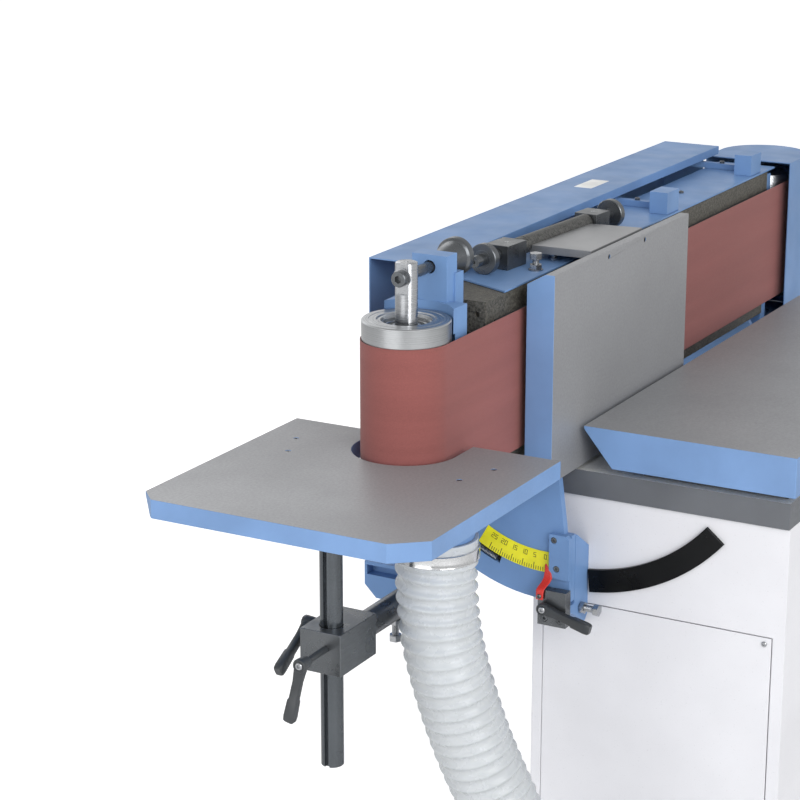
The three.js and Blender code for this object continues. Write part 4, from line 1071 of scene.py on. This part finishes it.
def base_fittings():
    """Panel screws, the two push buttons with their rings, and the low hose port."""
    places = [(310.2, y, z) for z in (-310, -850) for y in (-400, -69)]
    screws("panel_screw", places, (-1, 0, 0), "base", 4, 2.6, slot="bright_steel")
    cap = [(0, -9), (14, -9), (14, 6), (13.4, 6.8), (12, 7), (0, 6.2)]
    ring = [(14.6, 0), (18, 0), (18, 2.4), (16.8, 3.4), (14.6, 3.4)]
    for name, z, slot in (("start", -238, "green_plastic"), ("stop", -292, "red_plastic")):
        node = name + "_button"
        turned_piece(name + "_cap", cap, at(740, -461, z), (0, -1, 0), node, slot, [node], 48)
        turned_piece(name + "_ring", ring, at(740, -470, z), (0, -1, 0), "base", "black_plastic", (), 48)
    flange = [(45, -47), (47, -47), (47, -5), (62, -5), (64, -4), (64, -0.6), (45, 0)]
    turned_piece("port_flange", flange, at(309.7, LOW_PORT_Y, LOW_PORT_Z), (1, 0, 0), "base",
                 "black_plastic", ["hose_port"])
    places = [(305.6, y, z) for y, z in arc(LOW_PORT_Y, LOW_PORT_Z, 56, 45, 315, 3)]
    screws("port_screw", places, (-1, 0, 0), "base", 3.2, 2.4, slot="bright_steel")


def unit_fittings():
    """The hood's blank label, and the screws of hood, hood brackets, top plate and fence."""
    label = box_into(bmesh.new(), (768, 88, 210), (838, 118, 210.3), Matrix.Translation(IDLER))
    paper = plastic("label_paper", srgb(236, 236, 234), 0.5, 0.03)
    finish_mesh("blank_label", label, "unit", "white_paint", material=paper)
    places = [(x, 154, 195) for x in range(240, 1161, 230)]
    screws("hood_screw", places, (0, 1, 0), "unit", 4, 3, slot="bright_steel")
    arms = [(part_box(node)[1].x - IDLER.x) / MM - 6 for node in ("hood_bracket_left", "hood_bracket_right")]
    screws("hood_foot_screw", [(x, 20, PLATE_TOP + 10) for x in arms], UP, "unit", 4.2, 4)
    screws("plate_screw", [(x, 0, PLATE_TOP) for x in (640, 930, 1200)], UP, "unit", 4.2, 3.6)
    places = [(x, -112.4, 197) for x in (388, 515)]
    # The fence screws' near-black ink colour is partly dark screw heads and partly painted shade of the
    # holes they fill.
    screws("fence_screw", places, (0, -1, 0), "fence", 3.45, 2, material=INK)


idler_end()
belt()
spring()
clamp_levers()
post_and_bar()
small_table()
fence_hinge()
hose()
hose_clamp()
tilt_scale()
pointer()
quadrant_slot()
tilt_fittings()
drive_end()
base_fittings()
unit_fittings()


# ---- floor, light and camera
def stage():
    """A pale floor, a bright even sky and three soft lamps."""
    mesh = bpy.data.meshes.new("floor")
    half = 40
    corners = [(-half, -half, 0), (half, -half, 0), (half, half, 0), (-half, half, 0)]
    mesh.from_pydata(corners, [], [(0, 1, 2, 3)])
    n = shading("pale_floor")
    grain = n.noise(40, 4)
    n.put("Base Color", n.mix(n.remap(grain, 0.3, 0.7), (0.88, 0.88, 0.88), (0.92, 0.92, 0.92)))
    n.put("Roughness", n.remap(grain, 0.3, 0.7, 0.55, 0.65))
    n.put("Emission Color", (1, 1, 1))
    n.put("Emission Strength", n.math("MULTIPLY", n.add("LightPath").outputs["Is Camera Ray"], 0.45))
    mesh.materials.append(n.owner)
    link_new("floor", mesh)

    sky = Nodes(bpy.data.worlds.new("studio"), "Background")
    bpy.context.scene.world = sky.owner
    dome = sky.remap(sky.part("Generated", "Z"), 0.05, 1, 0.95, 0.45)
    sky.put("Color", (1, 1, 1))
    sky.put("Strength", sky.math("MAXIMUM", dome, sky.add("LightPath").outputs["Is Camera Ray"]))

    lights = [
        ("key", (-2.8, -3.0, 2.6), 2.6, 95),
        ("fill", (-4.4, 0.6, 1.6), 3.0, 40),
        ("back", (1.5, 3.0, 3.4), 3.0, 30),
    ]
    for name, position, size, power in lights:
        data = bpy.data.lights.new(name, "AREA")
        data.size = size
        data.energy = power
        light = link_new(name, data)
        light.location = position
        aim = Vector((-0.5, 0.1, 0.9)) - light.location
        light.rotation_mode = "QUATERNION"
        light.rotation_quaternion = aim.to_track_quat("-Z", "Y")
    bpy.context.scene.view_settings.view_transform = "Standard"


def camera():
    """Looks along the machine from the idler end, a little down."""
    heading, pitch = math.radians(29.05), math.radians(16.3)
    level = math.cos(pitch)
    forward = Vector((math.cos(heading) * level, math.sin(heading) * level, -math.sin(pitch)))
    data = bpy.data.cameras.new("camera")
    data.sensor_width = 36
    data.lens = 106.5
    eye = link_new("camera", data)
    eye.location = at(-2626.7, -1449.3, 945)
    eye.rotation_mode = "QUATERNION"
    eye.rotation_quaternion = forward.to_track_quat("-Z", "Y")
    bpy.context.scene.camera = eye


stage()
camera()
